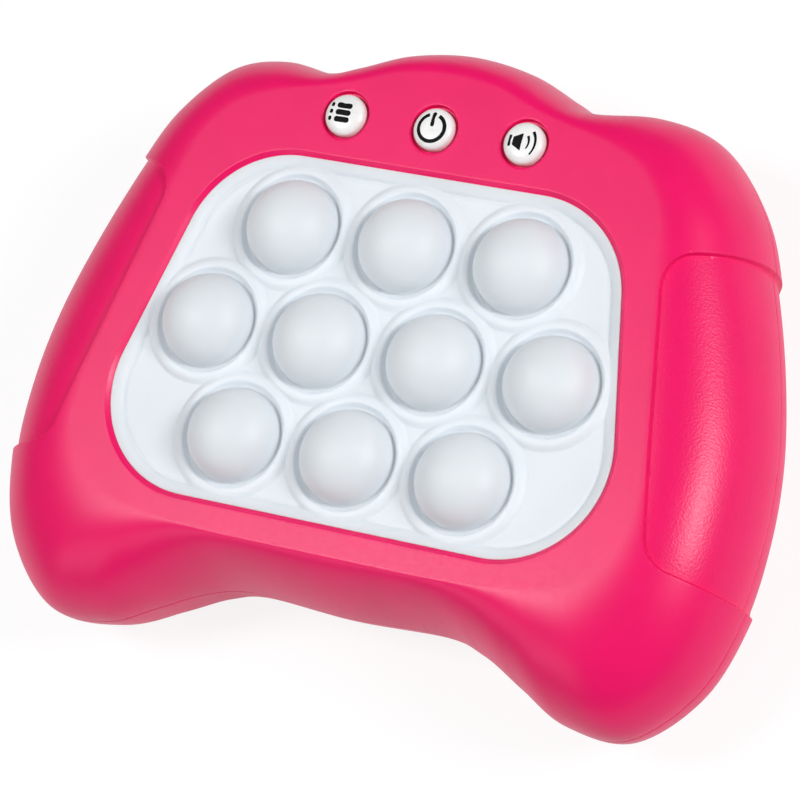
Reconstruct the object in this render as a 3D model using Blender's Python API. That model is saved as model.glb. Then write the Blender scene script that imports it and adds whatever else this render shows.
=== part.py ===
"""Electronic bubble pop game: ten silicone bubbles and three keys in a moulded case with two grips.

X runs across the two grips, Y runs up the face towards the three round buttons, and Z runs from the
flat back, which rests at Z = 0, out through the face. All lengths are in metres.
"""

import math

import bmesh
import bpy
import numpy as np

MM = 0.001

# Case: places in plan are shares of half of its width, measured from the middle of the bubbles
CASE_WIDTH = 160.0 * MM
CASE_LENGTH_SHARE = 0.7952
SEAM_HEIGHT_SHARE = 0.481
WALL = 2.6 * MM
SEAM_GAP = 0.3 * MM
SEAM_SKIN = 1.5 * MM
TONGUE_HEIGHT = 2.0 * MM
FIT_GAP = 0.3 * MM
OVERRUN = 2.0 * MM

# Right half of each outline from the top centre to the bottom centre, as shares of the half sizes
SEAM_OUTLINE_SHARES = [
    (0.000, 1.000), (0.153, 0.973), (0.278, 0.909), (0.363, 0.872), (0.520, 0.900),
    (0.664, 0.852), (0.793, 0.678), (0.869, 0.476), (0.943, 0.213), (0.995, -0.055),
    (1.012, -0.309), (0.998, -0.565), (0.935, -0.807), (0.796, -0.983), (0.636, -0.984),
    (0.514, -0.911), (0.390, -0.833), (0.261, -0.795), (0.000, -0.807),
]
FACE_OUTLINE_SHARES = [
    (0.000, 0.870), (0.131, 0.853), (0.244, 0.803), (0.337, 0.771), (0.469, 0.729),
    (0.562, 0.666), (0.625, 0.556), (0.654, 0.415), (0.685, 0.195), (0.725, -0.041),
    (0.756, -0.246), (0.756, -0.411), (0.712, -0.529), (0.638, -0.608), (0.556, -0.645),
    (0.469, -0.664), (0.375, -0.673), (0.250, -0.678), (0.000, -0.678),
]
BACK_OUTLINE_SHARES = [
    (0.000, 0.839), (0.125, 0.823), (0.225, 0.776), (0.325, 0.737), (0.450, 0.714),
    (0.537, 0.666), (0.625, 0.556), (0.688, 0.399), (0.750, 0.163), (0.794, -0.073),
    (0.813, -0.293), (0.794, -0.497), (0.737, -0.655), (0.663, -0.749), (0.575, -0.772),
    (0.488, -0.749), (0.387, -0.694), (0.263, -0.655), (0.000, -0.647),
]
# How full the front shoulder is at the same points: 2 is an ellipse, less is a straighter slope
FACE_FULLNESS_SHARES = [
    2.0, 2.0, 2.0, 2.0, 2.0, 2.0, 2.0, 2.0, 2.0, 2.0,
    2.0, 2.0, 2.0, 2.0, 1.9, 1.75, 1.6, 1.5, 1.5,
]
BACK_FULLNESS_SHARE = 2.1
OUTLINE_STEPS = 2
OUTER_BANDS = 5
INNER_BANDS = 3

# Bubbles, in rows of three, four and three, whose middle is a little below the case's own
GRID_DROP_SHARE = 0.0204
BUBBLE_PITCH_SHARE = 0.3124
BUBBLE_RADIUS_SHARE = 0.1181
BUBBLE_ROW_COUNTS = (3, 4, 3)
BUBBLE_RISE = 8.7 * MM
BUBBLE_SKIN = 1.2 * MM
BUBBLE_STEP_SHARE = 0.18
BUBBLE_TRAVEL = 4.5 * MM
POST_RADIUS = 2.2 * MM
ROUND_STEPS = 18
DOME_BANDS = 4
INNER_DOME_STEPS = 2

# Window in the face, a trapezoid with round corners: its lower right and upper right corners
WINDOW_CORNER_SHARES = ((0.741, -0.4426), (0.5411, 0.450))
WINDOW_ROUND_SHARE = 0.266
WINDOW_CHAMFER = 1.0 * MM
CORNER_STEPS = 6

# Silicone pad
PAD_FLOOR_DROP = 2.0 * MM
PAD_THICKNESS = 2.0 * MM
PAD_LIP_WIDTH = 2.3 * MM
PAD_LIP_HEIGHT = 1.3 * MM
PAD_FLANGE = 3.0 * MM
RING_GAP_SHARE = 0.10
RING_WIDTH_SHARE = 0.196
RING_SLOPE = 0.5 * MM
RING_HEIGHT = 1.2 * MM
GROOVE_DEPTH = 0.7 * MM

# Key plate with a light well under each bubble
PLATE_THICKNESS = 1.6 * MM
PLATE_FLANGE = 3.5 * MM
WELL_GAP = 0.7 * MM
WELL_WALL = 1.0 * MM
WELL_STEPS = 12

# Main board and what is soldered to it
BOARD_DROP = 13.0 * MM
BOARD_ROOM = 6.7 * MM
BOARD_THICKNESS = 1.6 * MM
BOARD_EDGE = 1.6 * MM
BOARD_CORNER = 4.0 * MM
BOARD_TONGUE_ROOT_SHARE = 0.413
BOARD_TONGUE_END_SHARES = (0.337, 0.638)
SWITCH_SIDE = 6.0 * MM
SWITCH_CORNER = 0.8 * MM
SWITCH_BODY = 1.8 * MM
SWITCH_PLUNGER_RADIUS = 1.8 * MM
SWITCH_PLUNGER = 0.6 * MM
KEY_SWITCH_BODY = 3.4 * MM
LED_SIDE = 4.6 * MM
LED_HEIGHT = 1.4 * MM
LED_INSET = 0.5 * MM

# Three round buttons above the window
BUTTON_PITCH_SHARE = 0.2448
BUTTON_ROW_SHARE = 0.5686
BUTTON_RADIUS_SHARE = 0.0522
BUTTON_RISE = 1.4 * MM
BUTTON_CROWN = 0.9 * MM
BUTTON_FLANGE = 1.2 * MM
BUTTON_FLANGE_HEIGHT = 1.2 * MM
BUTTON_STEM_RADIUS = 1.6 * MM
BUTTON_TRAVEL = 0.8 * MM
DISH_GAP = 0.55 * MM
DISH_CHAMFER = 0.3 * MM
DISH_DEPTH = 1.2 * MM
BUTTON_STEPS = 16

# Grips sunk into the sides of both shells: the right one's corners, anticlockwise
GRIP_DEPTH = 0.9 * MM
GRIP_CORNER_SHARES = ((0.810, -0.376), (1.125, -0.424), (1.125, 0.504), (0.665, 0.352))
GRIP_ROUND_SHARE = 0.0875
GRIP_FOOT_Z = 6.0 * MM
SMALL_CORNER_STEPS = 3

# Screws that hold the shells together, two on each side
SCREW_PLACE_SHARES = ((0.556, 0.460), (0.625, -0.482))
SCREW_SHANK_RADIUS = 1.35 * MM
SCREW_HEAD_RADIUS = 2.9 * MM
SCREW_HEAD_HEIGHT = 1.8 * MM
SCREW_LENGTH = 14.0 * MM
SCREW_BITE = 2.0 * MM
SCREW_SEAT_Z = 8.0 * MM
FRONT_BOSS_RADIUS = 3.6 * MM
REAR_BOSS_RADIUS = 4.7 * MM
BOSS_JOINT_Z = 12.0 * MM
SCREW_STEPS = 10

# Battery bay in the back, a little above the middle of the bubbles
BAY_RISE_SHARE = 0.075
CELL_RADIUS = 7.1 * MM
CELL_LENGTH = 50.5 * MM
CELL_NUB_RADIUS = 2.7 * MM
CELL_NUB = 1.0 * MM
CELL_GAP = 0.8 * MM
CELL_COUNT = 3
CELL_ROOM = 0.5 * MM
CONTACT_THICKNESS = 0.5 * MM
CONTACT_WIDTH = 12.0 * MM
CONTACT_HEIGHT = 9.0 * MM
SPRING_LENGTH = 4.0 * MM
SPRING_WIRE = 0.7 * MM
SPRING_ROOT_RADIUS = 4.2 * MM
SPRING_TIP_RADIUS = 2.6 * MM
SPRING_TURNS = 2.5
SPRING_TURN_POINTS = 10
BAY_WALL = 1.5 * MM

# Battery door with two tabs at one end and a captive screw at the other
DOOR_INSET = 0.4 * MM
DOOR_THICKNESS = 1.6 * MM
DOOR_MARGIN = 2.7 * MM
DOOR_CORNER = 4.0 * MM
DOOR_RIB_WIDTH = 1.2 * MM
DOOR_RIB_HEIGHT = 1.8 * MM
DOOR_RIB_LENGTH = 40.0 * MM
LEDGE_THICKNESS = 3.0 * MM
LEDGE_WALL = 1.6 * MM
TAB_REACH = 3.0 * MM
TAB_WIDTH = 8.0 * MM
TAB_THICKNESS = 0.8 * MM
TAB_Y = 14.0 * MM
EAR_RADIUS = 6.5 * MM
EAR_REACH_SHARE = 0.54
EAR_BOSS_RADIUS = 4.6 * MM
EAR_BOSS_HEIGHT = 2.0 * MM
EAR_WALL = 1.5 * MM
DOOR_SCREW_RADIUS = 1.2 * MM
DOOR_SCREW_HEAD_RADIUS = 2.6 * MM
DOOR_SCREW_HEAD = 1.2 * MM
DOOR_SCREW_SUNK = 0.4 * MM
DOOR_SCREW_LENGTH = 6.6 * MM
DOOR_SCREW_SWAY = 0.8 * MM
DOOR_SCREW_BOSS_RADIUS = 4.0 * MM

# Speaker between the battery bay and the left wall
SPEAKER_FAR_SHARE = 0.773
SPEAKER_ROW_SHARE = -0.250
SPEAKER_SPACE = 1.25 * MM
SPEAKER_RIM = 1.3 * MM
SPEAKER_RIM_HEIGHT = 1.8 * MM
SPEAKER_HEIGHT = 7.0 * MM
SPEAKER_BASKET_HEIGHT = 4.2 * MM
SPEAKER_BASKET_WALL = 0.8 * MM
MAGNET_SHARE = 0.565
CONE_SKIN = 0.4 * MM
CONE_CAP_SHARE = 0.28
SPEAKER_FENCE_WALL = 1.4 * MM
SPEAKER_FENCE_HEIGHT = 3.0 * MM
SPEAKER_HOLE_RADIUS = 1.1 * MM
SPEAKER_HOLE_PITCH = 4.4 * MM
SPEAKER_HOLE_COUNTS = (1, 6)
SPEAKER_HOLE_STEPS = 8

# Pillars that carry the main board
PILLAR_RADIUS = 2.5 * MM
PILLAR_PLACE_SHARES = ((0.350, 0.512), (0.275, -0.387))

# Sizes in plan that follow from the case's width
HALF_WIDTH = CASE_WIDTH / 2
HALF_LENGTH = HALF_WIDTH * CASE_LENGTH_SHARE
GRID_Y = -HALF_WIDTH * GRID_DROP_SHARE
BUBBLE_PITCH = HALF_WIDTH * BUBBLE_PITCH_SHARE
BUBBLE_RADIUS = HALF_WIDTH * BUBBLE_RADIUS_SHARE
RING_INNER = BUBBLE_RADIUS * (1 + RING_GAP_SHARE)
RING_OUTER = RING_INNER + BUBBLE_RADIUS * RING_WIDTH_SHARE
LED_OFFSET = (BUBBLE_RADIUS + SWITCH_SIDE / 2) / 2
BUTTON_RADIUS = HALF_WIDTH * BUTTON_RADIUS_SHARE
DISH_RADIUS = BUTTON_RADIUS + DISH_GAP
BAY_MIDDLE_Y = GRID_Y + HALF_WIDTH * BAY_RISE_SHARE
CELL_PITCH = 2 * CELL_RADIUS + CELL_GAP
BAY_HALF_LENGTH = (CELL_LENGTH + SPRING_LENGTH) / 2 + CONTACT_THICKNESS + 2 * FIT_GAP
BAY_HALF_WIDTH = CELL_PITCH * (CELL_COUNT - 1) / 2 + CELL_RADIUS + CELL_ROOM
DOOR_HALF_LENGTH = BAY_HALF_LENGTH + DOOR_MARGIN
DOOR_HALF_WIDTH = BAY_HALF_WIDTH + DOOR_MARGIN
EAR_X = DOOR_HALF_LENGTH + EAR_RADIUS * EAR_REACH_SHARE
SPEAKER_FAR = HALF_WIDTH * SPEAKER_FAR_SHARE
SPEAKER_NEAR = DOOR_HALF_LENGTH + FIT_GAP + LEDGE_WALL
SPEAKER_X = -(SPEAKER_FAR + SPEAKER_NEAR) / 2
SPEAKER_Y = GRID_Y + HALF_WIDTH * SPEAKER_ROW_SHARE
SPEAKER_ROOM = (SPEAKER_FAR - SPEAKER_NEAR) / 2 - SPEAKER_SPACE
SPEAKER_RADIUS = SPEAKER_ROOM - SPEAKER_FENCE_WALL - FIT_GAP
MAGNET_RADIUS = SPEAKER_RADIUS * MAGNET_SHARE
CONE_CAP_RADIUS = SPEAKER_RADIUS * CONE_CAP_SHARE

# Levels, stacked up from the battery door to the face
DOOR_TOP_Z = DOOR_INSET + DOOR_THICKNESS
LEDGE_Z = DOOR_TOP_Z + FIT_GAP
LEDGE_TOP_Z = LEDGE_Z + LEDGE_THICKNESS
EAR_TOP_Z = DOOR_TOP_Z + EAR_BOSS_HEIGHT
CELL_Z = DOOR_TOP_Z + CELL_ROOM + CELL_RADIUS
BAY_CEILING_Z = CELL_Z + CELL_RADIUS + CELL_ROOM
BOARD_UNDER_Z = BAY_CEILING_Z + BAY_WALL + BOARD_ROOM
BOARD_TOP_Z = BOARD_UNDER_Z + BOARD_THICKNESS
FACE_Z = BOARD_TOP_Z + BOARD_DROP
SEAM_Z = FACE_Z * SEAM_HEIGHT_SHARE
CEILING_Z = FACE_Z - WALL
FRONT_EDGE_Z = SEAM_Z + SEAM_GAP / 2
REAR_EDGE_Z = SEAM_Z - SEAM_GAP / 2
PAD_FLOOR_Z = FACE_Z - PAD_FLOOR_DROP
PAD_UNDER_Z = PAD_FLOOR_Z - PAD_THICKNESS
GROOVE_Z = PAD_FLOOR_Z - GROOVE_DEPTH
PLATE_TOP_Z = PAD_UNDER_Z - FIT_GAP
PLATE_UNDER_Z = PLATE_TOP_Z - PLATE_THICKNESS
PARTS_Z = BOARD_TOP_Z + FIT_GAP
SWITCH_TOP_Z = PARTS_Z + SWITCH_BODY + SWITCH_PLUNGER
KEY_SWITCH_TOP_Z = PARTS_Z + KEY_SWITCH_BODY + SWITCH_PLUNGER
POST_TIP_Z = SWITCH_TOP_Z + BUBBLE_TRAVEL + FIT_GAP
STEM_TIP_Z = KEY_SWITCH_TOP_Z + BUTTON_TRAVEL + FIT_GAP
SPEAKER_SEAT_Z = WALL + FIT_GAP

# Colours as red, green and blue shares, each with its roughness
PINK_ABS_SHARES = (0.84, 0.03, 0.15, 0.42)
WHITE_SILICONE_SHARES = (0.78, 0.81, 0.85, 0.48)
WHITE_PLASTIC_SHARES = (0.86, 0.86, 0.85, 0.35)
GREEN_BOARD_SHARES = (0.02, 0.22, 0.08, 0.45)
BLACK_PLASTIC_SHARES = (0.02, 0.02, 0.02, 0.4)
LED_SHARES = (0.95, 0.93, 0.8, 0.25)
STEEL_SHARES = (0.56, 0.57, 0.58, 0.3)
CELL_SHARES = (0.16, 0.17, 0.19, 0.35)
PAPER_SHARES = (0.05, 0.05, 0.05, 0.9)


def smooth_loop(points, steps):
    """Samples of a closed curve that runs smoothly through every point."""
    here = np.array(points, dtype=float)
    before = np.roll(here, 1, axis=0)
    after = np.roll(here, -1, axis=0)
    beyond = np.roll(here, -2, axis=0)
    samples = []
    for step in range(steps):
        t = step / steps
        straight = 2 * here + (after - before) * t
        bend = (2 * before - 5 * here + 4 * after - beyond) * t ** 2
        twist = (3 * here - before - 3 * after + beyond) * t ** 3
        samples.append((straight + bend + twist) / 2)
    return np.stack(samples, axis=1).reshape(len(here) * steps, -1)


def mirrored_loop(rows, flip):
    """The right half's rows from the bottom up, then the left half's rows from the top down."""
    right = rows[::-1]
    left = [flip(row) for row in right[-2:0:-1]]
    return right + left


def case_outline(shares):
    """One outline of the case, anticlockwise from its bottom centre."""
    rows = [(x * HALF_WIDTH, y * HALF_LENGTH) for x, y in shares]
    return smooth_loop(mirrored_loop(rows, lambda row: (-row[0], row[1])), OUTLINE_STEPS)


def fullness_loop(shares):
    """The shoulder's fullness at each sample of the outlines."""
    rows = [(share,) for share in shares]
    return smooth_loop(mirrored_loop(rows, lambda row: row), OUTLINE_STEPS)[:, 0]


def inset(outline, distance):
    """The outline moved inwards along its own normals."""
    along = np.roll(outline, -1, axis=0) - np.roll(outline, 1, axis=0)
    outward = np.stack([along[:, 1], -along[:, 0]], axis=1)
    outward /= np.linalg.norm(outward, axis=1)[:, None]
    return outline - outward * distance


def level(outline, height):
    """An outline as a ring of points at one height."""
    outline = np.asarray(outline, dtype=float)
    return np.column_stack([outline, np.full(len(outline), height)])


def shoulder(flat, flat_z, wall, wall_z, fullness, bands):
    """Rings that roll over from a flat outline to an upright wall."""
    rings = []
    for band in range(bands + 1):
        turn = math.pi / 2 * band / bands
        run = math.sin(turn) ** (2 / fullness)
        rise = max(math.cos(turn), 0) ** (2 / fullness)
        outline = flat + (wall - flat) * np.reshape(run, (-1, 1))
        heights = wall_z + (flat_z - wall_z) * rise * np.ones(len(flat))
        rings.append(np.column_stack([outline, heights]))
    return rings


def rounded_outline(corners, radius, grow, steps):
    """A polygon with round corners, anticlockwise, grown outwards all round."""
    corners = [np.array(corner, dtype=float) for corner in corners]
    outline = []
    for index, corner in enumerate(corners):
        to_last = corners[index - 1] - corner
        to_next = corners[(index + 1) % len(corners)] - corner
        to_last /= np.linalg.norm(to_last)
        to_next /= np.linalg.norm(to_next)
        middle = to_last + to_next
        middle /= np.linalg.norm(middle)
        half_angle = math.acos(np.clip(to_last @ to_next, -1, 1)) / 2
        centre = corner + middle * radius / math.sin(half_angle)
        aim = math.atan2(-middle[1], -middle[0])
        sweep = math.pi / 2 - half_angle
        for step in range(steps + 1):
            angle = aim + sweep * (2 * step / steps - 1)
            reach = radius + grow
            outline.append(centre + reach * np.array([math.cos(angle), math.sin(angle)]))
    return np.array(outline)


def rectangle(half_x, half_y, x=0, y=0):
    """The four corners of an upright rectangle, anticlockwise."""
    return [(x - half_x, y - half_y), (x + half_x, y - half_y),
            (x + half_x, y + half_y), (x - half_x, y + half_y)]


def chamfered_square(side, corner):
    """An outline of eight points: a square with its corners cut off."""
    half = side / 2
    near = half - corner
    return [(half, -near), (half, near), (near, half), (-near, half),
            (-half, near), (-half, -near), (-near, -half), (near, -half)]


def circle(radius, steps, x=0, y=0, start_share=0):
    """A ring of points round a centre, whose first point is turned by a share of one step."""
    turns = [math.tau * (step + start_share) / steps for step in range(steps)]
    return [(x + radius * math.cos(turn), y + radius * math.sin(turn)) for turn in turns]


def mesh_object(name, mesh_data):
    """An object in the scene for a bmesh, with its faces pointing out."""
    bmesh.ops.recalc_face_normals(mesh_data, faces=mesh_data.faces)
    mesh = bpy.data.meshes.new(name)
    mesh_data.to_mesh(mesh)
    mesh_data.free()
    made = bpy.data.objects.new(name, mesh)
    bpy.context.collection.objects.link(made)
    return made


def add_loft(mesh_data, rings):
    """Bridge a run of rings with equal counts and close both ends."""
    rows = [[mesh_data.verts.new(point) for point in ring] for ring in rings]
    for lower, upper in zip(rows, rows[1:]):
        for index in range(len(lower)):
            ahead = (index + 1) % len(lower)
            mesh_data.faces.new((lower[index], lower[ahead], upper[ahead], upper[index]))
    mesh_data.faces.new(rows[0])
    mesh_data.faces.new(rows[-1])


def lofted(name, rings):
    """A closed solid through a run of rings."""
    mesh_data = bmesh.new()
    add_loft(mesh_data, rings)
    return mesh_object(name, mesh_data)


def slabs(name, outlines, low, high):
    """Upright prisms of the given outlines, all between the same two heights."""
    mesh_data = bmesh.new()
    for outline in outlines:
        add_loft(mesh_data, [level(outline, low), level(outline, high)])
    return mesh_object(name, mesh_data)


def turned(name, profile, steps, places=((0, 0),), loop=False):
    """Copies of a profile of radius and height turned about upright axes at the given places."""
    mesh_data = bmesh.new()
    for x, y in places:
        columns = []
        for radius, height in profile:
            ring = circle(radius, steps, x, y) if radius else [(x, y)]
            columns.append([mesh_data.verts.new((*point, height)) for point in ring])
        pairs = list(zip(columns, columns[1:]))
        if loop:
            pairs.append((columns[-1], columns[0]))
        for first, second in pairs:
            for index in range(steps):
                ahead = (index + 1) % steps
                face = [first[index % len(first)], first[ahead % len(first)],
                        second[ahead % len(second)], second[index % len(second)]]
                mesh_data.faces.new(list(dict.fromkeys(face)))
    return mesh_object(name, mesh_data)


def combine(target, tool, operation):
    """Work one solid into another and drop the tool."""
    step = target.modifiers.new(operation, "BOOLEAN")
    step.operation = operation
    step.solver = "EXACT"
    step.object = tool
    bpy.context.view_layer.update()
    seen = target.evaluated_get(bpy.context.evaluated_depsgraph_get())
    worked = bpy.data.meshes.new_from_object(seen)
    target.modifiers.clear()
    target.data = worked
    bpy.data.objects.remove(tool)
    return target


def cut(target, tool):
    """Take the tool's volume out of the target."""
    return combine(target, tool, "DIFFERENCE")


def fuse(target, tool):
    """Join the tool to the target as one body."""
    return combine(target, tool, "UNION")


def keep(target, tool):
    """Keep only what the target shares with the tool."""
    return combine(target, tool, "INTERSECT")


def finish(made, name, shares, metallic=0):
    """Name a finished piece, shade it and give it a material of its own."""
    made.name = name
    made.data.name = name
    look = bpy.data.materials.new(name)
    look.use_nodes = True
    surface = look.node_tree.nodes["Principled BSDF"]
    red, green, blue, roughness = shares
    surface.inputs["Base Color"].default_value = (red, green, blue, 1)
    surface.inputs["Roughness"].default_value = roughness
    surface.inputs["Metallic"].default_value = metallic
    made.data.materials.clear()
    made.data.materials.append(look)
    made.data.shade_smooth()
    made.data.set_sharp_from_angle(angle=math.radians(35))
    return made


def move_origin(made, x, y, z):
    """Put a piece's origin on its joint without moving the piece."""
    shift = np.array([x, y, z])
    for point in made.data.vertices:
        point.co = np.array(point.co) - shift
    made.location = (x, y, z)
    return made


def in_plan(share_x, share_y):
    """A place given as shares of half the case's width, from the middle of the bubbles."""
    return share_x * HALF_WIDTH, GRID_Y + share_y * HALF_WIDTH


def on_both_sides(shares):
    """Places on the left, then the same places mirrored to the right."""
    return [in_plan(side * share_x, share_y) for side in (-1, 1) for share_x, share_y in shares]


def bubble_places():
    """Centres of the ten bubbles, row by row from the top left."""
    row_pitch = BUBBLE_PITCH * math.sin(math.pi / 3)
    places = []
    for row, count in enumerate(BUBBLE_ROW_COUNTS):
        y = GRID_Y + ((len(BUBBLE_ROW_COUNTS) - 1) / 2 - row) * row_pitch
        for column in range(count):
            places.append(((column - (count - 1) / 2) * BUBBLE_PITCH, y))
    return places


def button_places():
    """Centres of the three buttons, from left to right."""
    return [in_plan(side * BUTTON_PITCH_SHARE, BUTTON_ROW_SHARE) for side in (-1, 0, 1)]


def screw_places():
    """Centres of the four case screws."""
    return on_both_sides(SCREW_PLACE_SHARES)


def cell_places():
    """Y of each battery cell and the side, -1 or 1 along X, of its positive end."""
    places = []
    for index in range(CELL_COUNT):
        y = BAY_MIDDLE_Y + (index - (CELL_COUNT - 1) / 2) * CELL_PITCH
        places.append((y, 1 - 2 * (index % 2)))
    return places


def window_outline(grow):
    """The window's outline, grown or shrunk all round."""
    right = [in_plan(share_x, share_y) for share_x, share_y in WINDOW_CORNER_SHARES]
    left = [(-x, y) for x, y in right[::-1]]
    return rounded_outline(right + left, HALF_WIDTH * WINDOW_ROUND_SHARE, grow, CORNER_STEPS)


def grip_prisms(low, high):
    """Prisms over the two grips, seen along Z."""
    corners = [in_plan(share_x, share_y) for share_x, share_y in GRIP_CORNER_SHARES]
    right = rounded_outline(corners, HALF_WIDTH * GRIP_ROUND_SHARE, 0, SMALL_CORNER_STEPS)
    left = right[::-1] * (-1, 1)
    return slabs("grip_prisms", [right, left], low, high)


def front_core(seam, face, fullness):
    """The front shell's outer form, smaller by the depth of the grips."""
    wall = inset(seam, GRIP_DEPTH)
    rings = shoulder(face, FACE_Z - GRIP_DEPTH, wall, FRONT_EDGE_Z, fullness, OUTER_BANDS)
    return lofted("front_core", rings + [level(wall, GRIP_FOOT_Z)])


def rear_core(seam, back):
    """The rear shell's outer form, smaller by the depth of the grips."""
    wall = inset(seam, GRIP_DEPTH)
    rings = shoulder(back, GRIP_DEPTH, wall, REAR_EDGE_Z, BACK_FULLNESS_SHARE, OUTER_BANDS)
    return lofted("rear_core", rings + [level(wall, FACE_Z)])


def front_shell(seam, face, fullness):
    """Upper half of the case, with the window, the button dishes, the bosses and the grips."""
    skin = inset(seam, SEAM_SKIN)
    inner = inset(seam, WALL)
    rebate_z = FRONT_EDGE_Z + TONGUE_HEIGHT + FIT_GAP
    outside = shoulder(face, FACE_Z, seam, FRONT_EDGE_Z, fullness, OUTER_BANDS)
    inside = shoulder(face, CEILING_Z, inner, rebate_z, fullness, INNER_BANDS)
    rebate = [level(skin, FRONT_EDGE_Z), level(skin, rebate_z)]
    shell = lofted("front_shell", outside + rebate + inside[::-1])

    boss_low = BOSS_JOINT_Z + FIT_GAP
    boss_outlines = [circle(FRONT_BOSS_RADIUS, SCREW_STEPS, x, y) for x, y in screw_places()]
    bosses = slabs("bosses", boss_outlines, boss_low, FACE_Z + OVERRUN)
    fuse(shell, keep(bosses, front_core(seam, face, fullness)))
    pilot_top = SCREW_SEAT_Z + SCREW_LENGTH + SCREW_BITE
    pilot_outlines = [circle(SCREW_SHANK_RADIUS + FIT_GAP, SCREW_STEPS, x, y) for x, y in screw_places()]
    cut(shell, slabs("pilots", pilot_outlines, boss_low - OVERRUN, pilot_top))

    window_rings = [level(window_outline(0), CEILING_Z - OVERRUN),
                    level(window_outline(0), FACE_Z - WINDOW_CHAMFER),
                    level(window_outline(WINDOW_CHAMFER), FACE_Z),
                    level(window_outline(WINDOW_CHAMFER), FACE_Z + OVERRUN)]
    cut(shell, lofted("window", window_rings))

    hole = BUTTON_RADIUS + FIT_GAP
    dish_z = FACE_Z - DISH_DEPTH
    dish_profile = [(0, CEILING_Z - OVERRUN), (hole, CEILING_Z - OVERRUN), (hole, dish_z),
                    (DISH_RADIUS, dish_z), (DISH_RADIUS, FACE_Z - DISH_CHAMFER),
                    (DISH_RADIUS + DISH_CHAMFER, FACE_Z), (DISH_RADIUS + DISH_CHAMFER, FACE_Z + OVERRUN),
                    (0, FACE_Z + OVERRUN)]
    cut(shell, turned("dishes", dish_profile, BUTTON_STEPS, button_places()))

    prisms = grip_prisms(FRONT_EDGE_Z - OVERRUN, FACE_Z + OVERRUN)
    cut(shell, cut(prisms, front_core(seam, face, fullness)))
    return finish(shell, "front_shell", PINK_ABS_SHARES)


def door_outline(grow):
    """The outline of the door's plate, grown all round."""
    corners = rectangle(DOOR_HALF_LENGTH, DOOR_HALF_WIDTH, 0, BAY_MIDDLE_Y)
    return rounded_outline(corners, DOOR_CORNER, grow, SMALL_CORNER_STEPS)


def add_rear_bosses(shell):
    """Screw bosses, board pillars and the speaker's fence, all standing on the floor."""
    root_z = WALL / 2
    boss_outlines = [circle(REAR_BOSS_RADIUS, SCREW_STEPS, x, y) for x, y in screw_places()]
    fuse(shell, slabs("rear_bosses", boss_outlines, root_z, BOSS_JOINT_Z))
    pillar_outlines = [circle(PILLAR_RADIUS, SCREW_STEPS, x, y)
                       for x, y in on_both_sides(PILLAR_PLACE_SHARES)]
    fuse(shell, slabs("pillars", pillar_outlines, root_z, BOARD_UNDER_Z - FIT_GAP))
    inner = SPEAKER_RADIUS + FIT_GAP
    outer = inner + SPEAKER_FENCE_WALL
    top_z = WALL + SPEAKER_FENCE_HEIGHT
    fence = [(outer, root_z), (outer, top_z), (inner, top_z), (inner, root_z)]
    fuse(shell, turned("fence", fence, ROUND_STEPS, [(SPEAKER_X, SPEAKER_Y)], loop=True))


def add_battery_bay(shell):
    """The bay's tub, the ledge that the door closes on and the boss of its screw."""
    root_z = WALL / 2
    grow = FIT_GAP + LEDGE_WALL
    fuse(shell, slabs("ledge", [door_outline(grow)], root_z, LEDGE_TOP_Z))
    tub = rectangle(BAY_HALF_LENGTH + BAY_WALL, BAY_HALF_WIDTH + BAY_WALL, 0, BAY_MIDDLE_Y)
    fuse(shell, slabs("tub", [tub], root_z, BAY_CEILING_Z + BAY_WALL))
    ear_top = EAR_TOP_Z + FIT_GAP
    screw_end = DOOR_INSET + DOOR_SCREW_SUNK + DOOR_SCREW_HEAD + DOOR_SCREW_LENGTH
    hole_end = screw_end + FIT_GAP
    boss = [(0, root_z), (EAR_RADIUS + grow, root_z), (EAR_RADIUS + grow, ear_top + EAR_WALL),
            (DOOR_SCREW_BOSS_RADIUS, ear_top + EAR_WALL), (DOOR_SCREW_BOSS_RADIUS, hole_end + EAR_WALL),
            (0, hole_end + EAR_WALL)]
    fuse(shell, turned("screw_boss", boss, ROUND_STEPS, [(EAR_X, BAY_MIDDLE_Y)]))

    interior = rectangle(BAY_HALF_LENGTH, BAY_HALF_WIDTH, 0, BAY_MIDDLE_Y)
    cut(shell, slabs("interior", [interior], -OVERRUN, BAY_CEILING_Z))
    cut(shell, slabs("recess", [door_outline(FIT_GAP)], -OVERRUN, LEDGE_Z))
    ear_hole = [(0, -OVERRUN), (EAR_RADIUS + FIT_GAP, -OVERRUN), (EAR_RADIUS + FIT_GAP, LEDGE_Z),
                (EAR_BOSS_RADIUS + FIT_GAP, LEDGE_Z), (EAR_BOSS_RADIUS + FIT_GAP, ear_top),
                (DOOR_SCREW_RADIUS + DOOR_SCREW_SWAY, ear_top),
                (DOOR_SCREW_RADIUS + DOOR_SCREW_SWAY, hole_end), (0, hole_end)]
    cut(shell, turned("ear_hole", ear_hole, ROUND_STEPS, [(EAR_X, BAY_MIDDLE_Y)]))

    tab_low = DOOR_TOP_Z - TAB_THICKNESS - FIT_GAP
    swing = math.hypot(TAB_REACH, DOOR_THICKNESS) + FIT_GAP
    pocket_near = DOOR_HALF_LENGTH + swing
    pocket_far = BAY_HALF_LENGTH - FIT_GAP
    pockets = [rectangle((pocket_near - pocket_far) / 2, TAB_WIDTH / 2 + FIT_GAP,
                         -(pocket_near + pocket_far) / 2, BAY_MIDDLE_Y + side * TAB_Y)
               for side in (-1, 1)]
    cut(shell, slabs("tab_pockets", pockets, tab_low, DOOR_INSET + swing))


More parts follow.
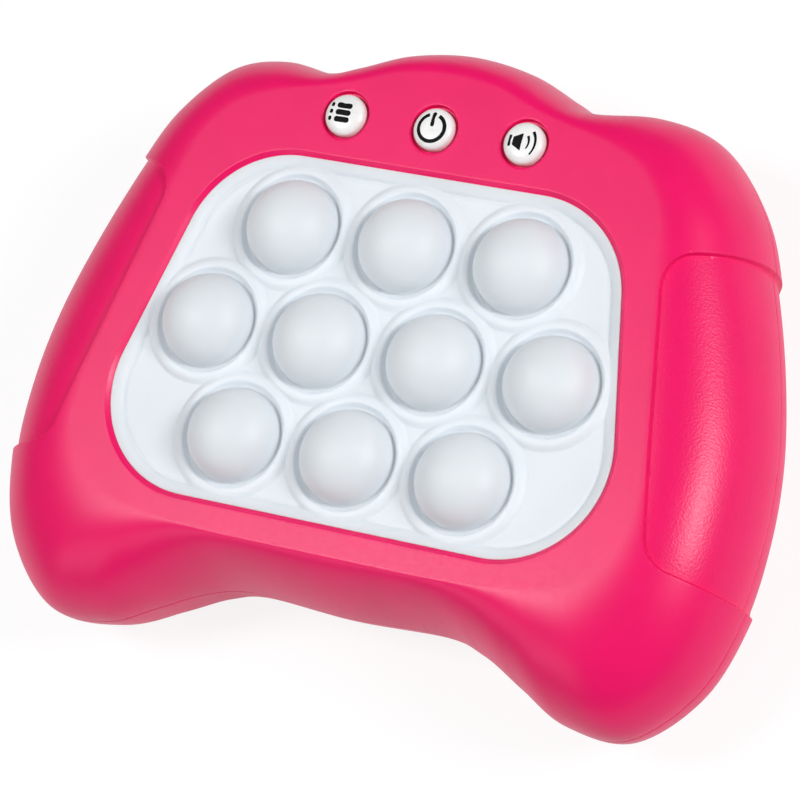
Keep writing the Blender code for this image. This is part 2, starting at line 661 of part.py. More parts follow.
def cut_rear_holes(shell):
    """Screw holes with sunk heads and the speaker's holes."""
    seat = SCREW_HEAD_RADIUS + FIT_GAP
    shank = SCREW_SHANK_RADIUS + FIT_GAP
    seat_z = SCREW_SEAT_Z + FIT_GAP
    screw_hole = [(0, -OVERRUN), (seat, -OVERRUN), (seat, seat_z), (shank, seat_z),
                  (shank, BOSS_JOINT_Z + OVERRUN), (0, BOSS_JOINT_Z + OVERRUN)]
    cut(shell, turned("screw_holes", screw_hole, SCREW_STEPS, screw_places()))
    holes = []
    for ring, count in enumerate(SPEAKER_HOLE_COUNTS):
        for x, y in circle(ring * SPEAKER_HOLE_PITCH, count, SPEAKER_X, SPEAKER_Y):
            holes.append(circle(SPEAKER_HOLE_RADIUS, SPEAKER_HOLE_STEPS, x, y))
    cut(shell, slabs("speaker_holes", holes, -OVERRUN, SPEAKER_SEAT_Z))


def rear_shell(seam, back):
    """Lower half of the case, with the battery bay, the bosses and the tongue along the seam."""
    tongue = inset(seam, SEAM_SKIN + FIT_GAP)
    inner = inset(seam, WALL)
    tongue_z = REAR_EDGE_Z + TONGUE_HEIGHT
    outside = shoulder(back, 0, seam, REAR_EDGE_Z, BACK_FULLNESS_SHARE, OUTER_BANDS)
    inside = shoulder(back, WALL, inner, REAR_EDGE_Z, BACK_FULLNESS_SHARE, INNER_BANDS)
    edge = [level(tongue, REAR_EDGE_Z), level(tongue, tongue_z), level(inner, tongue_z)]
    shell = lofted("rear_shell", outside + edge + inside[::-1])
    add_rear_bosses(shell)
    add_battery_bay(shell)
    cut_rear_holes(shell)
    prisms = grip_prisms(GRIP_FOOT_Z, REAR_EDGE_Z + SEAM_GAP / 2)
    cut(shell, cut(prisms, rear_core(seam, back)))
    return finish(shell, "rear_shell", PINK_ABS_SHARES)


def bubble_pad():
    """Silicone sheet with a lip, a clamped flange and a raised ring round each bubble."""
    face = window_outline(-FIT_GAP)
    flange = window_outline(PAD_FLANGE)
    floor = window_outline(-FIT_GAP - PAD_LIP_WIDTH)
    lip_z = PAD_FLOOR_Z + PAD_LIP_HEIGHT
    flange_z = CEILING_Z - FIT_GAP
    slope = PAD_LIP_HEIGHT / 2
    rings = [level(flange, PAD_UNDER_Z), level(flange, flange_z), level(face, flange_z),
             level(face, lip_z - slope / 2), level(window_outline(-FIT_GAP - slope / 2), lip_z),
             level(window_outline(-FIT_GAP - PAD_LIP_WIDTH + slope), lip_z), level(floor, PAD_FLOOR_Z)]
    pad = lofted("bubble_pad", rings)
    ring_z = PAD_FLOOR_Z + RING_HEIGHT
    root_z = (PAD_UNDER_Z + PAD_FLOOR_Z) / 2
    disc = [(0, root_z), (RING_OUTER, root_z), (RING_OUTER, ring_z - RING_SLOPE),
            (RING_OUTER - RING_SLOPE, ring_z), (0, ring_z)]
    for place in bubble_places():
        fuse(pad, turned("ring", disc, ROUND_STEPS, [place]))
    hole = BUBBLE_RADIUS + FIT_GAP
    groove = [(0, PAD_UNDER_Z - OVERRUN), (hole, PAD_UNDER_Z - OVERRUN), (hole, GROOVE_Z),
              (RING_INNER, GROOVE_Z), (RING_INNER, ring_z + OVERRUN), (0, ring_z + OVERRUN)]
    cut(pad, turned("grooves", groove, ROUND_STEPS, bubble_places()))
    return finish(pad, "bubble_pad", WHITE_SILICONE_SHARES)


def dome_arc(radius, low, high, bands, least_radius):
    """Points of a dome's quarter section from its foot up to a least radius."""
    stop = math.acos(least_radius / radius)
    turns = [stop * band / bands for band in range(bands + 1)]
    return [(radius * math.cos(turn), low + (high - low) * math.sin(turn)) for turn in turns]


def bubble(index, place):
    """Hollow dome on an upright skirt, with a post that reaches down for its switch."""
    foot_z = GROOVE_Z + BUBBLE_RISE * BUBBLE_STEP_SHARE
    top_z = GROOVE_Z + BUBBLE_RISE
    inner_radius = BUBBLE_RADIUS - BUBBLE_SKIN
    outer = dome_arc(BUBBLE_RADIUS, foot_z, top_z, DOME_BANDS, 0)
    outer[-1] = (0, top_z)
    inner = dome_arc(inner_radius, foot_z, top_z - BUBBLE_SKIN, INNER_DOME_STEPS, POST_RADIUS)
    profile = outer[::-1] + [(BUBBLE_RADIUS, PAD_UNDER_Z), (inner_radius, PAD_UNDER_Z)]
    profile += inner + [(POST_RADIUS, POST_TIP_Z), (0, POST_TIP_Z)]
    made = turned("bubble", profile, ROUND_STEPS, [place])
    finish(made, f"bubble_{index}", WHITE_SILICONE_SHARES)
    return move_origin(made, *place, GROOVE_Z)


def key_plate():
    """Stiff plate that clamps the pad, with an open well under each bubble."""
    plate = slabs("key_plate", [window_outline(PLATE_FLANGE)], PLATE_UNDER_Z, PLATE_TOP_Z)
    inner = BUBBLE_RADIUS + WELL_GAP
    outer = inner + WELL_WALL
    low = BOARD_TOP_Z + FIT_GAP
    middle = (PLATE_UNDER_Z + PLATE_TOP_Z) / 2
    tubes = [circle(outer, WELL_STEPS, x, y) for x, y in bubble_places()]
    fuse(plate, slabs("tubes", tubes, low, middle))
    bores = [circle(inner, WELL_STEPS, x, y) for x, y in bubble_places()]
    cut(plate, slabs("bores", bores, low - OVERRUN, PLATE_TOP_Z + OVERRUN))
    return finish(plate, "key_plate", WHITE_PLASTIC_SHARES)


def main_board():
    """Circuit board under the bubbles, with a tongue under the three buttons."""
    edge = window_outline(BOARD_EDGE)
    board = slabs("main_board", [edge], BOARD_UNDER_Z, BOARD_TOP_Z)
    top_y = edge[:, 1].max()
    root_half = HALF_WIDTH * BOARD_TONGUE_ROOT_SHARE
    root_y = top_y - BOARD_CORNER
    end_half, end_y = in_plan(*BOARD_TONGUE_END_SHARES)
    corners = [(-root_half, root_y), (root_half, root_y), (root_half, top_y),
               (end_half, end_y), (-end_half, end_y), (-root_half, top_y)]
    tongue = rounded_outline(corners, SWITCH_CORNER, 0, 1)
    fuse(board, slabs("tongue", [tongue], BOARD_UNDER_Z, BOARD_TOP_Z))
    return finish(board, "main_board", GREEN_BOARD_SHARES)


def push_switch(name, place, body_height):
    """Small square switch with a round plunger."""
    x, y = place
    square = np.array(chamfered_square(SWITCH_SIDE, SWITCH_CORNER)) + (x, y)
    plunger = circle(SWITCH_PLUNGER_RADIUS, len(square), x, y, -0.5)
    body_z = PARTS_Z + body_height
    rings = [level(square, PARTS_Z), level(square, body_z),
             level(plunger, body_z), level(plunger, body_z + SWITCH_PLUNGER)]
    return finish(lofted(name, rings), name, BLACK_PLASTIC_SHARES)


def led(name, place):
    """Square lamp with a drawn-in top, beside its bubble's switch."""
    x, y = place[0], place[1] + LED_OFFSET
    foot = rectangle(LED_SIDE / 2, LED_SIDE / 2, x, y)
    top = rectangle(LED_SIDE / 2 - LED_INSET, LED_SIDE / 2 - LED_INSET, x, y)
    rings = [level(foot, PARTS_Z), level(foot, PARTS_Z + LED_HEIGHT - LED_INSET),
             level(top, PARTS_Z + LED_HEIGHT)]
    return finish(lofted(name, rings), name, LED_SHARES)


def button(name, place):
    """Round button with a crowned cap, a flange under the case and a stem to its switch."""
    top_z = FACE_Z + BUTTON_RISE
    flange_top = CEILING_Z - FIT_GAP
    flange_low = flange_top - BUTTON_FLANGE_HEIGHT
    flange = BUTTON_RADIUS + BUTTON_FLANGE
    crown = dome_arc(BUTTON_RADIUS, top_z - BUTTON_CROWN, top_z, DOME_BANDS - 1, 0)
    crown[-1] = (0, top_z)
    profile = crown[::-1] + [(BUTTON_RADIUS, flange_top), (flange, flange_top), (flange, flange_low),
                             (BUTTON_STEM_RADIUS, flange_low), (BUTTON_STEM_RADIUS, STEM_TIP_Z),
                             (0, STEM_TIP_Z)]
    made = finish(turned("button", profile, BUTTON_STEPS, [place]), name, WHITE_PLASTIC_SHARES)
    return move_origin(made, *place, top_z)


def case_screw(index, place):
    """Pan head screw, driven up from the back."""
    head_low = SCREW_SEAT_Z - SCREW_HEAD_HEIGHT
    round_edge = SCREW_HEAD_HEIGHT / 3
    profile = [(0, head_low), (SCREW_HEAD_RADIUS - round_edge, head_low),
               (SCREW_HEAD_RADIUS, head_low + round_edge), (SCREW_HEAD_RADIUS, SCREW_SEAT_Z),
               (SCREW_SHANK_RADIUS, SCREW_SEAT_Z), (SCREW_SHANK_RADIUS, SCREW_SEAT_Z + SCREW_LENGTH),
               (0, SCREW_SEAT_Z + SCREW_LENGTH + SCREW_SHANK_RADIUS)]
    return finish(turned("screw", profile, SCREW_STEPS, [place]), f"case_screw_{index}", STEEL_SHARES, 1)


def battery_door():
    """Door over the battery bay, hinged on two tabs, with an ear for its screw."""
    door = slabs("battery_door", [door_outline(0)], DOOR_INSET, DOOR_TOP_Z)
    boss_profile = [(0, DOOR_INSET), (EAR_RADIUS, DOOR_INSET), (EAR_RADIUS, DOOR_TOP_Z),
                    (EAR_BOSS_RADIUS, DOOR_TOP_Z), (EAR_BOSS_RADIUS, EAR_TOP_Z), (0, EAR_TOP_Z)]
    fuse(door, turned("ear", boss_profile, ROUND_STEPS, [(EAR_X, BAY_MIDDLE_Y)]))
    tab_reach = TAB_REACH + DOOR_MARGIN
    tabs = [rectangle(tab_reach / 2, TAB_WIDTH / 2, DOOR_MARGIN - DOOR_HALF_LENGTH - tab_reach / 2,
                      BAY_MIDDLE_Y + side * TAB_Y) for side in (-1, 1)]
    fuse(door, slabs("tabs", tabs, DOOR_TOP_Z - TAB_THICKNESS, DOOR_TOP_Z))
    ribs = [rectangle(DOOR_RIB_LENGTH / 2, DOOR_RIB_WIDTH / 2, 0, BAY_MIDDLE_Y + side * CELL_PITCH / 2)
            for side in (-1, 1)]
    rib_root = DOOR_TOP_Z - DOOR_THICKNESS / 2
    fuse(door, slabs("ribs", ribs, rib_root, DOOR_TOP_Z + DOOR_RIB_HEIGHT))
    seat_z = DOOR_INSET + DOOR_SCREW_SUNK + DOOR_SCREW_HEAD + FIT_GAP
    seat = DOOR_SCREW_HEAD_RADIUS + FIT_GAP
    shank = DOOR_SCREW_RADIUS + FIT_GAP
    hole = [(0, -OVERRUN), (seat, -OVERRUN), (seat, seat_z), (shank, seat_z),
            (shank, EAR_TOP_Z + OVERRUN), (0, EAR_TOP_Z + OVERRUN)]
    cut(door, turned("hole", hole, SCREW_STEPS, [(EAR_X, BAY_MIDDLE_Y)]))
    finish(door, "battery_door", PINK_ABS_SHARES)
    return move_origin(door, -DOOR_HALF_LENGTH, BAY_MIDDLE_Y, DOOR_INSET)


def door_screw():
    """Captive screw in the door's ear."""
    low = DOOR_INSET + DOOR_SCREW_SUNK
    seat_z = low + DOOR_SCREW_HEAD
    profile = [(0, low), (DOOR_SCREW_HEAD_RADIUS, low), (DOOR_SCREW_HEAD_RADIUS, seat_z),
               (DOOR_SCREW_RADIUS, seat_z), (DOOR_SCREW_RADIUS, seat_z + DOOR_SCREW_LENGTH),
               (0, seat_z + DOOR_SCREW_LENGTH)]
    made = finish(turned("screw", profile, SCREW_STEPS, [(EAR_X, BAY_MIDDLE_Y)]),
                  "door_screw", STEEL_SHARES, 1)
    return move_origin(made, -DOOR_HALF_LENGTH, BAY_MIDDLE_Y, DOOR_INSET)


def lay_along(made, side, x, y, z):
    """Turn an upright piece's +Z to point along X on one side, then put its origin in place."""
    for point in made.data.vertices:
        up_x, up_y, up_z = point.co
        point.co = (side * up_z, up_x, side * up_y)
    made.location = (x, y, z)
    return made


def battery_cell(index, y, side):
    """Round cell with its positive nub on the given side."""
    body = CELL_LENGTH - CELL_NUB
    profile = [(0, 0), (CELL_RADIUS, 0), (CELL_RADIUS, body), (CELL_NUB_RADIUS, body),
               (CELL_NUB_RADIUS, CELL_LENGTH), (0, CELL_LENGTH)]
    made = finish(turned("cell", profile, BUTTON_STEPS), f"battery_cell_{index}", CELL_SHARES)
    positive_end = BAY_HALF_LENGTH - CONTACT_THICKNESS - 2 * FIT_GAP
    return lay_along(made, side, side * (positive_end - CELL_LENGTH), y, CELL_Z)


def contact_plate(name, side, low_y, high_y):
    """Bent steel plate against one end wall of the bay."""
    outer = side * (BAY_HALF_LENGTH - FIT_GAP)
    inner = side * (BAY_HALF_LENGTH - FIT_GAP - CONTACT_THICKNESS)
    outline = [(min(outer, inner), low_y), (max(outer, inner), low_y),
               (max(outer, inner), high_y), (min(outer, inner), high_y)]
    low_z = CELL_Z - CONTACT_HEIGHT / 2
    return finish(slabs(name, [outline], low_z, low_z + CONTACT_HEIGHT), name, STEEL_SHARES, 1)


def contact_plates():
    """Two end contacts and two bridges that put the three cells in series."""
    (first, first_side), (second, second_side), (third, third_side) = cell_places()
    half = CONTACT_WIDTH / 2
    contact_plate("contact_negative", -first_side, first - half, first + half)
    contact_plate("contact_bridge_right", first_side, first - half, second + half)
    contact_plate("contact_bridge_left", second_side, second - half, third + half)
    contact_plate("contact_positive", third_side, third - half, third + half)


def cell_spring(index, y, side):
    """Cone-shaped spring that pushes on a cell's negative end, as one round wire."""
    name = f"cell_spring_{index}"
    curve = bpy.data.curves.new(name, "CURVE")
    curve.dimensions = "3D"
    curve.bevel_depth = SPRING_WIRE / 2
    curve.bevel_resolution = 0
    curve.use_fill_caps = True
    wire = curve.splines.new("POLY")
    count = int(SPRING_TURNS * SPRING_TURN_POINTS) + 1
    wire.points.add(count - 1)
    rise = SPRING_LENGTH - SPRING_WIRE
    for step in range(count):
        share = step / (count - 1)
        radius = SPRING_ROOT_RADIUS + (SPRING_TIP_RADIUS - SPRING_ROOT_RADIUS) * share
        turn = math.tau * SPRING_TURNS * share
        height = SPRING_WIRE / 2 + rise * share
        wire.points[step].co = (radius * math.cos(turn), radius * math.sin(turn), height, 1)
    guide = bpy.data.objects.new(name, curve)
    bpy.context.collection.objects.link(guide)
    bpy.context.view_layer.update()
    seen = guide.evaluated_get(bpy.context.evaluated_depsgraph_get())
    made = bpy.data.objects.new(name, bpy.data.meshes.new_from_object(seen))
    bpy.context.collection.objects.link(made)
    bpy.data.objects.remove(guide)
    finish(made, name, STEEL_SHARES, 1)
    root = BAY_HALF_LENGTH - CONTACT_THICKNESS - 2 * FIT_GAP
    return lay_along(made, side, -side * root, y, CELL_Z)


def speaker_parts():
    """Speaker basket with its magnet, facing the holes, and the cone inside it."""
    place = (SPEAKER_X, SPEAKER_Y)
    rim_in = SPEAKER_RADIUS - SPEAKER_RIM
    rim_z = SPEAKER_SEAT_Z + SPEAKER_RIM_HEIGHT
    basket_z = SPEAKER_SEAT_Z + SPEAKER_BASKET_HEIGHT
    top_z = SPEAKER_SEAT_Z + SPEAKER_HEIGHT
    frame = [(0, top_z), (MAGNET_RADIUS, top_z), (MAGNET_RADIUS, basket_z), (rim_in, rim_z),
             (SPEAKER_RADIUS, rim_z), (SPEAKER_RADIUS, SPEAKER_SEAT_Z), (rim_in, SPEAKER_SEAT_Z),
             (rim_in, rim_z - SPEAKER_BASKET_WALL),
             (MAGNET_RADIUS - SPEAKER_BASKET_WALL, basket_z - SPEAKER_BASKET_WALL),
             (0, basket_z - SPEAKER_BASKET_WALL)]
    finish(turned("frame", frame, BUTTON_STEPS, [place]), "speaker_frame", STEEL_SHARES, 1)
    edge = rim_in - FIT_GAP
    deep = basket_z - SPEAKER_BASKET_WALL - 2 * FIT_GAP
    shallow = SPEAKER_SEAT_Z + FIT_GAP
    cone = [(0, deep), (CONE_CAP_RADIUS, deep), (edge, shallow + CONE_SKIN), (edge, shallow),
            (CONE_CAP_RADIUS, deep - CONE_SKIN), (0, deep - 2 * CONE_SKIN)]
    finish(turned("cone", cone, BUTTON_STEPS, [place]), "speaker_cone", PAPER_SHARES)


def build():
    """Clear the scene and make every piece."""
    for old in list(bpy.data.objects):
        bpy.data.objects.remove(old)
    seam = case_outline(SEAM_OUTLINE_SHARES)
    face = case_outline(FACE_OUTLINE_SHARES)
    back = case_outline(BACK_OUTLINE_SHARES)
    fullness = fullness_loop(FACE_FULLNESS_SHARES)
    front_shell(seam, face, fullness)
    rear_shell(seam, back)
    bubble_pad()
    key_plate()
    main_board()
    for index, place in enumerate(bubble_places(), 1):
        bubble(index, place)
        push_switch(f"bubble_switch_{index}", place, SWITCH_BODY)
        led(f"bubble_led_{index}", place)
    for name, place in zip(("menu", "power", "sound"), button_places()):
        button(f"{name}_button", place)
        push_switch(f"{name}_switch", place, KEY_SWITCH_BODY)
    for index, place in enumerate(screw_places(), 1):
        case_screw(index, place)
    battery_door()
    door_screw()
    for index, (y, side) in enumerate(cell_places(), 1):
        battery_cell(index, y, side)
        cell_spring(index, y, side)
    contact_plates()
    speaker_parts()


build()
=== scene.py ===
"""Dressed model of an electronic bubble pop game: fine shells, pad, bubbles, buttons and finishes."""

import math

import bmesh
import bpy
import numpy as np
from mathutils import Matrix, Vector
from mathutils.geometry import delaunay_2d_cdt


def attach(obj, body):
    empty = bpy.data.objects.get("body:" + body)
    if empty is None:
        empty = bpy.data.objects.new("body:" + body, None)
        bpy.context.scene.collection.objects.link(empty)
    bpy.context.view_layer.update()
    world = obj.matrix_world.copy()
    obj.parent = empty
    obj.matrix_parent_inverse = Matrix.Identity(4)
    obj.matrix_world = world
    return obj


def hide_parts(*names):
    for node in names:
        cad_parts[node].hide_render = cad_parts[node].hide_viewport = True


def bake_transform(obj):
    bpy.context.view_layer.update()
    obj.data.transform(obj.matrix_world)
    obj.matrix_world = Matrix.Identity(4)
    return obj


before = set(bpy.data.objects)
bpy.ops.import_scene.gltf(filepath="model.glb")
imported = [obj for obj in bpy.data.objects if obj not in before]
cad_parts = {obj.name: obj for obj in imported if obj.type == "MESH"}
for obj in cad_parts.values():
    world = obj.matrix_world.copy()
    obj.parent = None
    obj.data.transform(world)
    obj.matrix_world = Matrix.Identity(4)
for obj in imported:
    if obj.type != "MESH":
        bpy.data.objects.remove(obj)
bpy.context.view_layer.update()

MM = 0.001

# Camera, fitted to the grid of bubbles in the photograph
CAMERA_PLACE = (0.31051, -0.12928, 0.67814)
CAMERA_RIGHT = (0.89013, 0.26291, -0.37222)
CAMERA_UP = (-0.17256, 0.95043, 0.25866)
CAMERA_BACK = (0.42177, -0.16601, 0.89138)
CAMERA_LENS = 167.28
CAMERA_SENSOR = 36.0

# Case, with its places in plan as shares of half of its width
HALF_WIDTH = 80.0 * MM
HALF_LENGTH = HALF_WIDTH * 0.7952
GRID_Y = -HALF_WIDTH * 0.0204
WALL = 2.6 * MM
FACE_Z = 40.0 * MM
CEILING_Z = FACE_Z - WALL
SEAM_Z = 19.24 * MM
SEAM_GAP = 0.12 * MM
SEAM_ROUND = 0.18 * MM
SEAM_SKIN = 1.5 * MM
TONGUE_HEIGHT = 2.0 * MM
FIT_GAP = 0.3 * MM
OVERRUN = 2.0 * MM
FRONT_EDGE_Z = SEAM_Z + SEAM_GAP / 2
REAR_EDGE_Z = SEAM_Z - SEAM_GAP / 2

# Right half of each outline from the top centre to the bottom centre, as shares of the half sizes
SEAM_OUTLINE_SHARES = [
    (0.000, 1.000), (0.153, 0.973), (0.278, 0.909), (0.363, 0.872), (0.520, 0.900),
    (0.664, 0.852), (0.793, 0.678), (0.869, 0.476), (0.943, 0.213), (0.995, -0.055),
    (1.012, -0.309), (0.998, -0.565), (0.935, -0.807), (0.796, -0.983), (0.636, -0.984),
    (0.514, -0.911), (0.390, -0.833), (0.261, -0.795), (0.000, -0.807),
]
FACE_OUTLINE_SHARES = [
    (0.000, 0.870), (0.131, 0.853), (0.244, 0.803), (0.337, 0.771), (0.469, 0.729),
    (0.562, 0.666), (0.625, 0.556), (0.654, 0.415), (0.685, 0.195), (0.725, -0.041),
    (0.756, -0.246), (0.756, -0.411), (0.712, -0.529), (0.638, -0.608), (0.556, -0.645),
    (0.469, -0.664), (0.375, -0.673), (0.250, -0.678), (0.000, -0.678),
]
BACK_OUTLINE_SHARES = [
    (0.000, 0.839), (0.125, 0.823), (0.225, 0.776), (0.325, 0.737), (0.450, 0.714),
    (0.537, 0.666), (0.625, 0.556), (0.688, 0.399), (0.750, 0.163), (0.794, -0.073),
    (0.813, -0.293), (0.794, -0.497), (0.737, -0.655), (0.663, -0.749), (0.575, -0.772),
    (0.488, -0.749), (0.387, -0.694), (0.263, -0.655), (0.000, -0.647),
]
FACE_FULLNESS_SHARES = [2.0] * 14 + [1.9, 1.75, 1.6, 1.5, 1.5]
BACK_FULLNESS = 2.1
OUTLINE_STEPS = 24
SHOULDER_ROWS = 48
REAR_ROWS = 32
INNER_ROWS = 12
HELPER_STEP = 0.3 * MM

# Grips, sunk into the sides of both shells
GRIP_DEPTH = 0.9 * MM
GRIP_CORNER_SHARES = ((0.810, -0.376), (1.125, -0.424), (1.125, 0.504), (0.665, 0.352))
GRIP_ROUND = HALF_WIDTH * 0.0875
GRIP_FOOT_Z = 6.0 * MM
GRIP_EDGE_START = 0.15 * MM
GRIP_EDGE_WIDTH = 0.42 * MM
GRIP_EDGE_CUTS = 9
GRIP_FOOT_ROUND = 3.0 * MM

# Bubbles, in rows of three, four and three
BUBBLE_PITCH = HALF_WIDTH * 0.3124
BUBBLE_RADIUS = HALF_WIDTH * 0.1181
BUBBLE_ROW_COUNTS = (3, 4, 3)
BUBBLE_TOP_Z = FACE_Z + 6.0 * MM
BUBBLE_STEP_SHARE = 0.06
BUBBLE_SKIN = 1.2 * MM
BUBBLE_FOOT_ROUND = 0.3 * MM
BUBBLE_FOOT_STEPS = 4
DOME_STEPS = 96
DOME_BANDS = 30

# Window in the face and the pad in it
WINDOW_CORNER_SHARES = ((0.741, -0.4426), (0.5411, 0.450))
WINDOW_ROUND = HALF_WIDTH * 0.266
WINDOW_CHAMFER = 1.0 * MM
WINDOW_STEPS = 40
SIDE_STEPS = 110
EDGE_ROUND = 0.22 * MM
PAD_FLOOR_Z = FACE_Z - 2.0 * MM
PAD_UNDER_Z = PAD_FLOOR_Z - 2.0 * MM
PAD_FLANGE = 3.0 * MM
GROOVE_Z = PAD_FLOOR_Z - 0.2 * MM
PAD_LAP = 0.1 * MM
PAD_WALL_GAP = 0.08 * MM
LIP_RISE = 0.75 * MM
LIP_WIDTH = 2.3 * MM
CREASE_DEPTH = 0.2 * MM
CREASE_DISTANCE = 2.45 * MM
CREASE_WIDTH = 0.42 * MM
SWEEP_RISE = 0.6 * MM
SWEEP_WIDTH = 6.0 * MM
WIDE_SWEEP = 5.0 * MM
NEAR_CORNER = 14.0 * MM
FAR_CORNER = 28.0 * MM
RING_TOP_Z = PAD_FLOOR_Z + 0.9 * MM
RING_CREST = BUBBLE_RADIUS * 1.228
RING_FALL = 1.5 * MM
RING_SOFT = 0.3 * MM
WELL_START = BUBBLE_RADIUS * 1.058
WELL_WIDTH = 1.3 * MM
WELL_LIFT = 1.15
PAD_GRID = 0.55 * MM
PAD_FINE = 0.26 * MM
PAD_EDGE_ZONE = 3.6 * MM
PAD_EDGE_SHARES = (0.1, 0.3, 0.6, 1.0)
RING_ZONE = BUBBLE_RADIUS * 1.42

# Three round buttons above the window
BUTTON_PITCH_SHARE = 0.2448
BUTTON_ROW_SHARE = 0.5686
BUTTON_RADIUS = HALF_WIDTH * 0.0538
BUTTON_GAP = 0.12 * MM
BUTTON_TOP_Z = FACE_Z + 1.4 * MM
BUTTON_CROWN = 2.2 * MM
CROWN_POWER = 3.4
BUTTON_FLANGE = 1.1 * MM
DISH_RADIUS = BUTTON_RADIUS + 0.65 * MM
DISH_CHAMFER = 0.3 * MM
DISH_DEPTH = 1.2 * MM
BUTTON_STEM_RADIUS = 1.6 * MM
STEM_TIP_Z = 32.4 * MM
BUTTON_STEPS = 96
PRINT_PROUD = 0.02 * MM
PRINT_SUNK = 0.06 * MM
PRINT_GRID = 0.3 * MM

# Screws, battery bay, door and speaker in the back
SCREW_PLACE_SHARES = ((0.556, 0.460), (0.625, -0.482))
SCREW_HEAD_RADIUS = 2.9 * MM
SCREW_HEAD_HEIGHT = 1.8 * MM
SCREW_SHANK_RADIUS = 1.35 * MM
SCREW_LENGTH = 14.0 * MM
SCREW_SEAT_Z = 8.0 * MM
SCREW_STEPS = 48
CROSS_WIDTH = 0.75 * MM
CROSS_REACH = 1.7 * MM
CROSS_DEPTH = 1.0 * MM
CROSS_SHARE = 0.62
REAR_BOSS_RADIUS = 4.7 * MM
BOSS_JOINT_Z = 12.0 * MM
BAY_MIDDLE_Y = GRID_Y + HALF_WIDTH * 0.075
CELL_PITCH = 15.0 * MM
BAY_HALF_LENGTH = 28.35 * MM
BAY_HALF_WIDTH = 22.6 * MM
BAY_CEILING_Z = 17.2 * MM
BAY_WALL = 1.5 * MM
DOOR_INSET = 0.4 * MM
DOOR_THICKNESS = 1.6 * MM
DOOR_TOP_Z = DOOR_INSET + DOOR_THICKNESS
DOOR_MARGIN = 2.7 * MM
DOOR_HALF_LENGTH = BAY_HALF_LENGTH + DOOR_MARGIN
DOOR_HALF_WIDTH = BAY_HALF_WIDTH + DOOR_MARGIN
DOOR_CORNER = 4.0 * MM
DOOR_EDGE_ROUND = 0.25 * MM
DOOR_RIB_WIDTH = 1.2 * MM
DOOR_RIB_HEIGHT = 1.8 * MM
DOOR_RIB_LENGTH = 40.0 * MM
LEDGE_Z = DOOR_TOP_Z + FIT_GAP
LEDGE_TOP_Z = LEDGE_Z + 3.0 * MM
LEDGE_WALL = 1.6 * MM
TAB_REACH = 3.0 * MM
TAB_WIDTH = 8.0 * MM
TAB_THICKNESS = 0.8 * MM
TAB_Y = 14.0 * MM
EAR_RADIUS = 6.5 * MM
EAR_X = DOOR_HALF_LENGTH + EAR_RADIUS * 0.54
EAR_BOSS_RADIUS = 4.6 * MM
EAR_TOP_Z = DOOR_TOP_Z + 2.0 * MM
EAR_WALL = 1.5 * MM
DOOR_SCREW_RADIUS = 1.2 * MM
DOOR_SCREW_HEAD_RADIUS = 2.6 * MM
DOOR_SCREW_HEAD = 1.2 * MM
DOOR_SCREW_SUNK = 0.4 * MM
DOOR_SCREW_LENGTH = 6.6 * MM
DOOR_SCREW_SWAY = 0.8 * MM
DOOR_SCREW_BOSS_RADIUS = 4.0 * MM
DOOR_SCREW_TIP_Z = DOOR_INSET + DOOR_SCREW_SUNK + DOOR_SCREW_HEAD + DOOR_SCREW_LENGTH
EAR_PLACE = (EAR_X, BAY_MIDDLE_Y)
SPEAKER_PLACE = (-47.4 * MM, GRID_Y - HALF_WIDTH * 0.250)
SPEAKER_RADIUS = 11.5 * MM
SPEAKER_FENCE_WALL = 1.4 * MM
SPEAKER_FENCE_HEIGHT = 3.0 * MM
SPEAKER_HOLE_RADIUS = 1.1 * MM
SPEAKER_HOLE_PITCH = 4.4 * MM
SPEAKER_HOLE_COUNTS = (1, 6)
MOUTH_CHAMFER = 0.3 * MM
CORNER_STEPS = 12
ROUND_STEPS = 64

# Colour and roughness of each finish, then its tint, gloss and relief. Each of these is noise of a size in
# millimetres and a detail, with the least and greatest value, or for the relief its strength and depth.
FINISHES = {
    "case_plastic": ((0.88, 0.003, 0.13), 0.36, (9, 3, 0.965, 1.02), (0.6, 3, 0.33, 0.39),
                     (0.16, 2, 0.18, 0.03)),
    "silicone": ((0.785, 0.832, 0.88), 0.48, (14, 2, 0.985, 1.01), (1.2, 3, 0.44, 0.53),
                 (0.2, 2, 0.05, 0.02)),
    "white_plastic": ((0.9, 0.9, 0.89), 0.3, (4, 3, 0.93, 1.05), (4 / 3, 3, 0.25, 0.35), (0.4, 2, 0.1, 0.01)),
    "black_print": ((0.006, 0.006, 0.007), 0.6, (1, 3, 0.93, 1.05), (1 / 3, 3, 0.55, 0.65),
                    (0.1, 2, 0.1, 0.01)),
    "switch_plastic": ((0.02, 0.02, 0.022), 0.4, (2, 3, 0.93, 1.05), (2 / 3, 3, 0.35, 0.45),
                       (0.2, 2, 0.1, 0.02)),
    "led_resin": ((0.93, 0.9, 0.78), 0.2, (3, 3, 0.93, 1.05), (1, 3, 0.15, 0.25), (0.3, 2, 0.1, 0.02)),
    "cone_paper": ((0.05, 0.048, 0.045), 0.9, (1, 3, 0.93, 1.05), (1 / 3, 3, 0.85, 0.95), (0.1, 2, 0.1, 0.1)),
    "cell_sleeve": ((0.05, 0.055, 0.06), 0.3, (1.5, 3, 0.8, 1.3), (0.7, 2, 0.22, 0.36), (3, 1, 0.06, 0.05)),
}
SHADER_VALUES = {
    "case_plastic": {"Specular IOR Level": 0.36},
    "silicone": {"Specular IOR Level": 0.4, "Subsurface Weight": 0.5, "Subsurface Radius": (1.0, 1.0, 1.0),
                 "Subsurface Scale": 2.2 * MM},
    "black_print": {"Specular IOR Level": 0.1},
}
LEATHER = {"Scale": 1 / (0.45 * MM), "Smoothness": 0.6}
LEATHER_RELIEF = (0.42, 0.07)
STEEL_COLOUR = (0.60, 0.60, 0.61)
STEEL_ROUGHNESS = 0.28
STEEL_TINT = (0.85, 1.08)
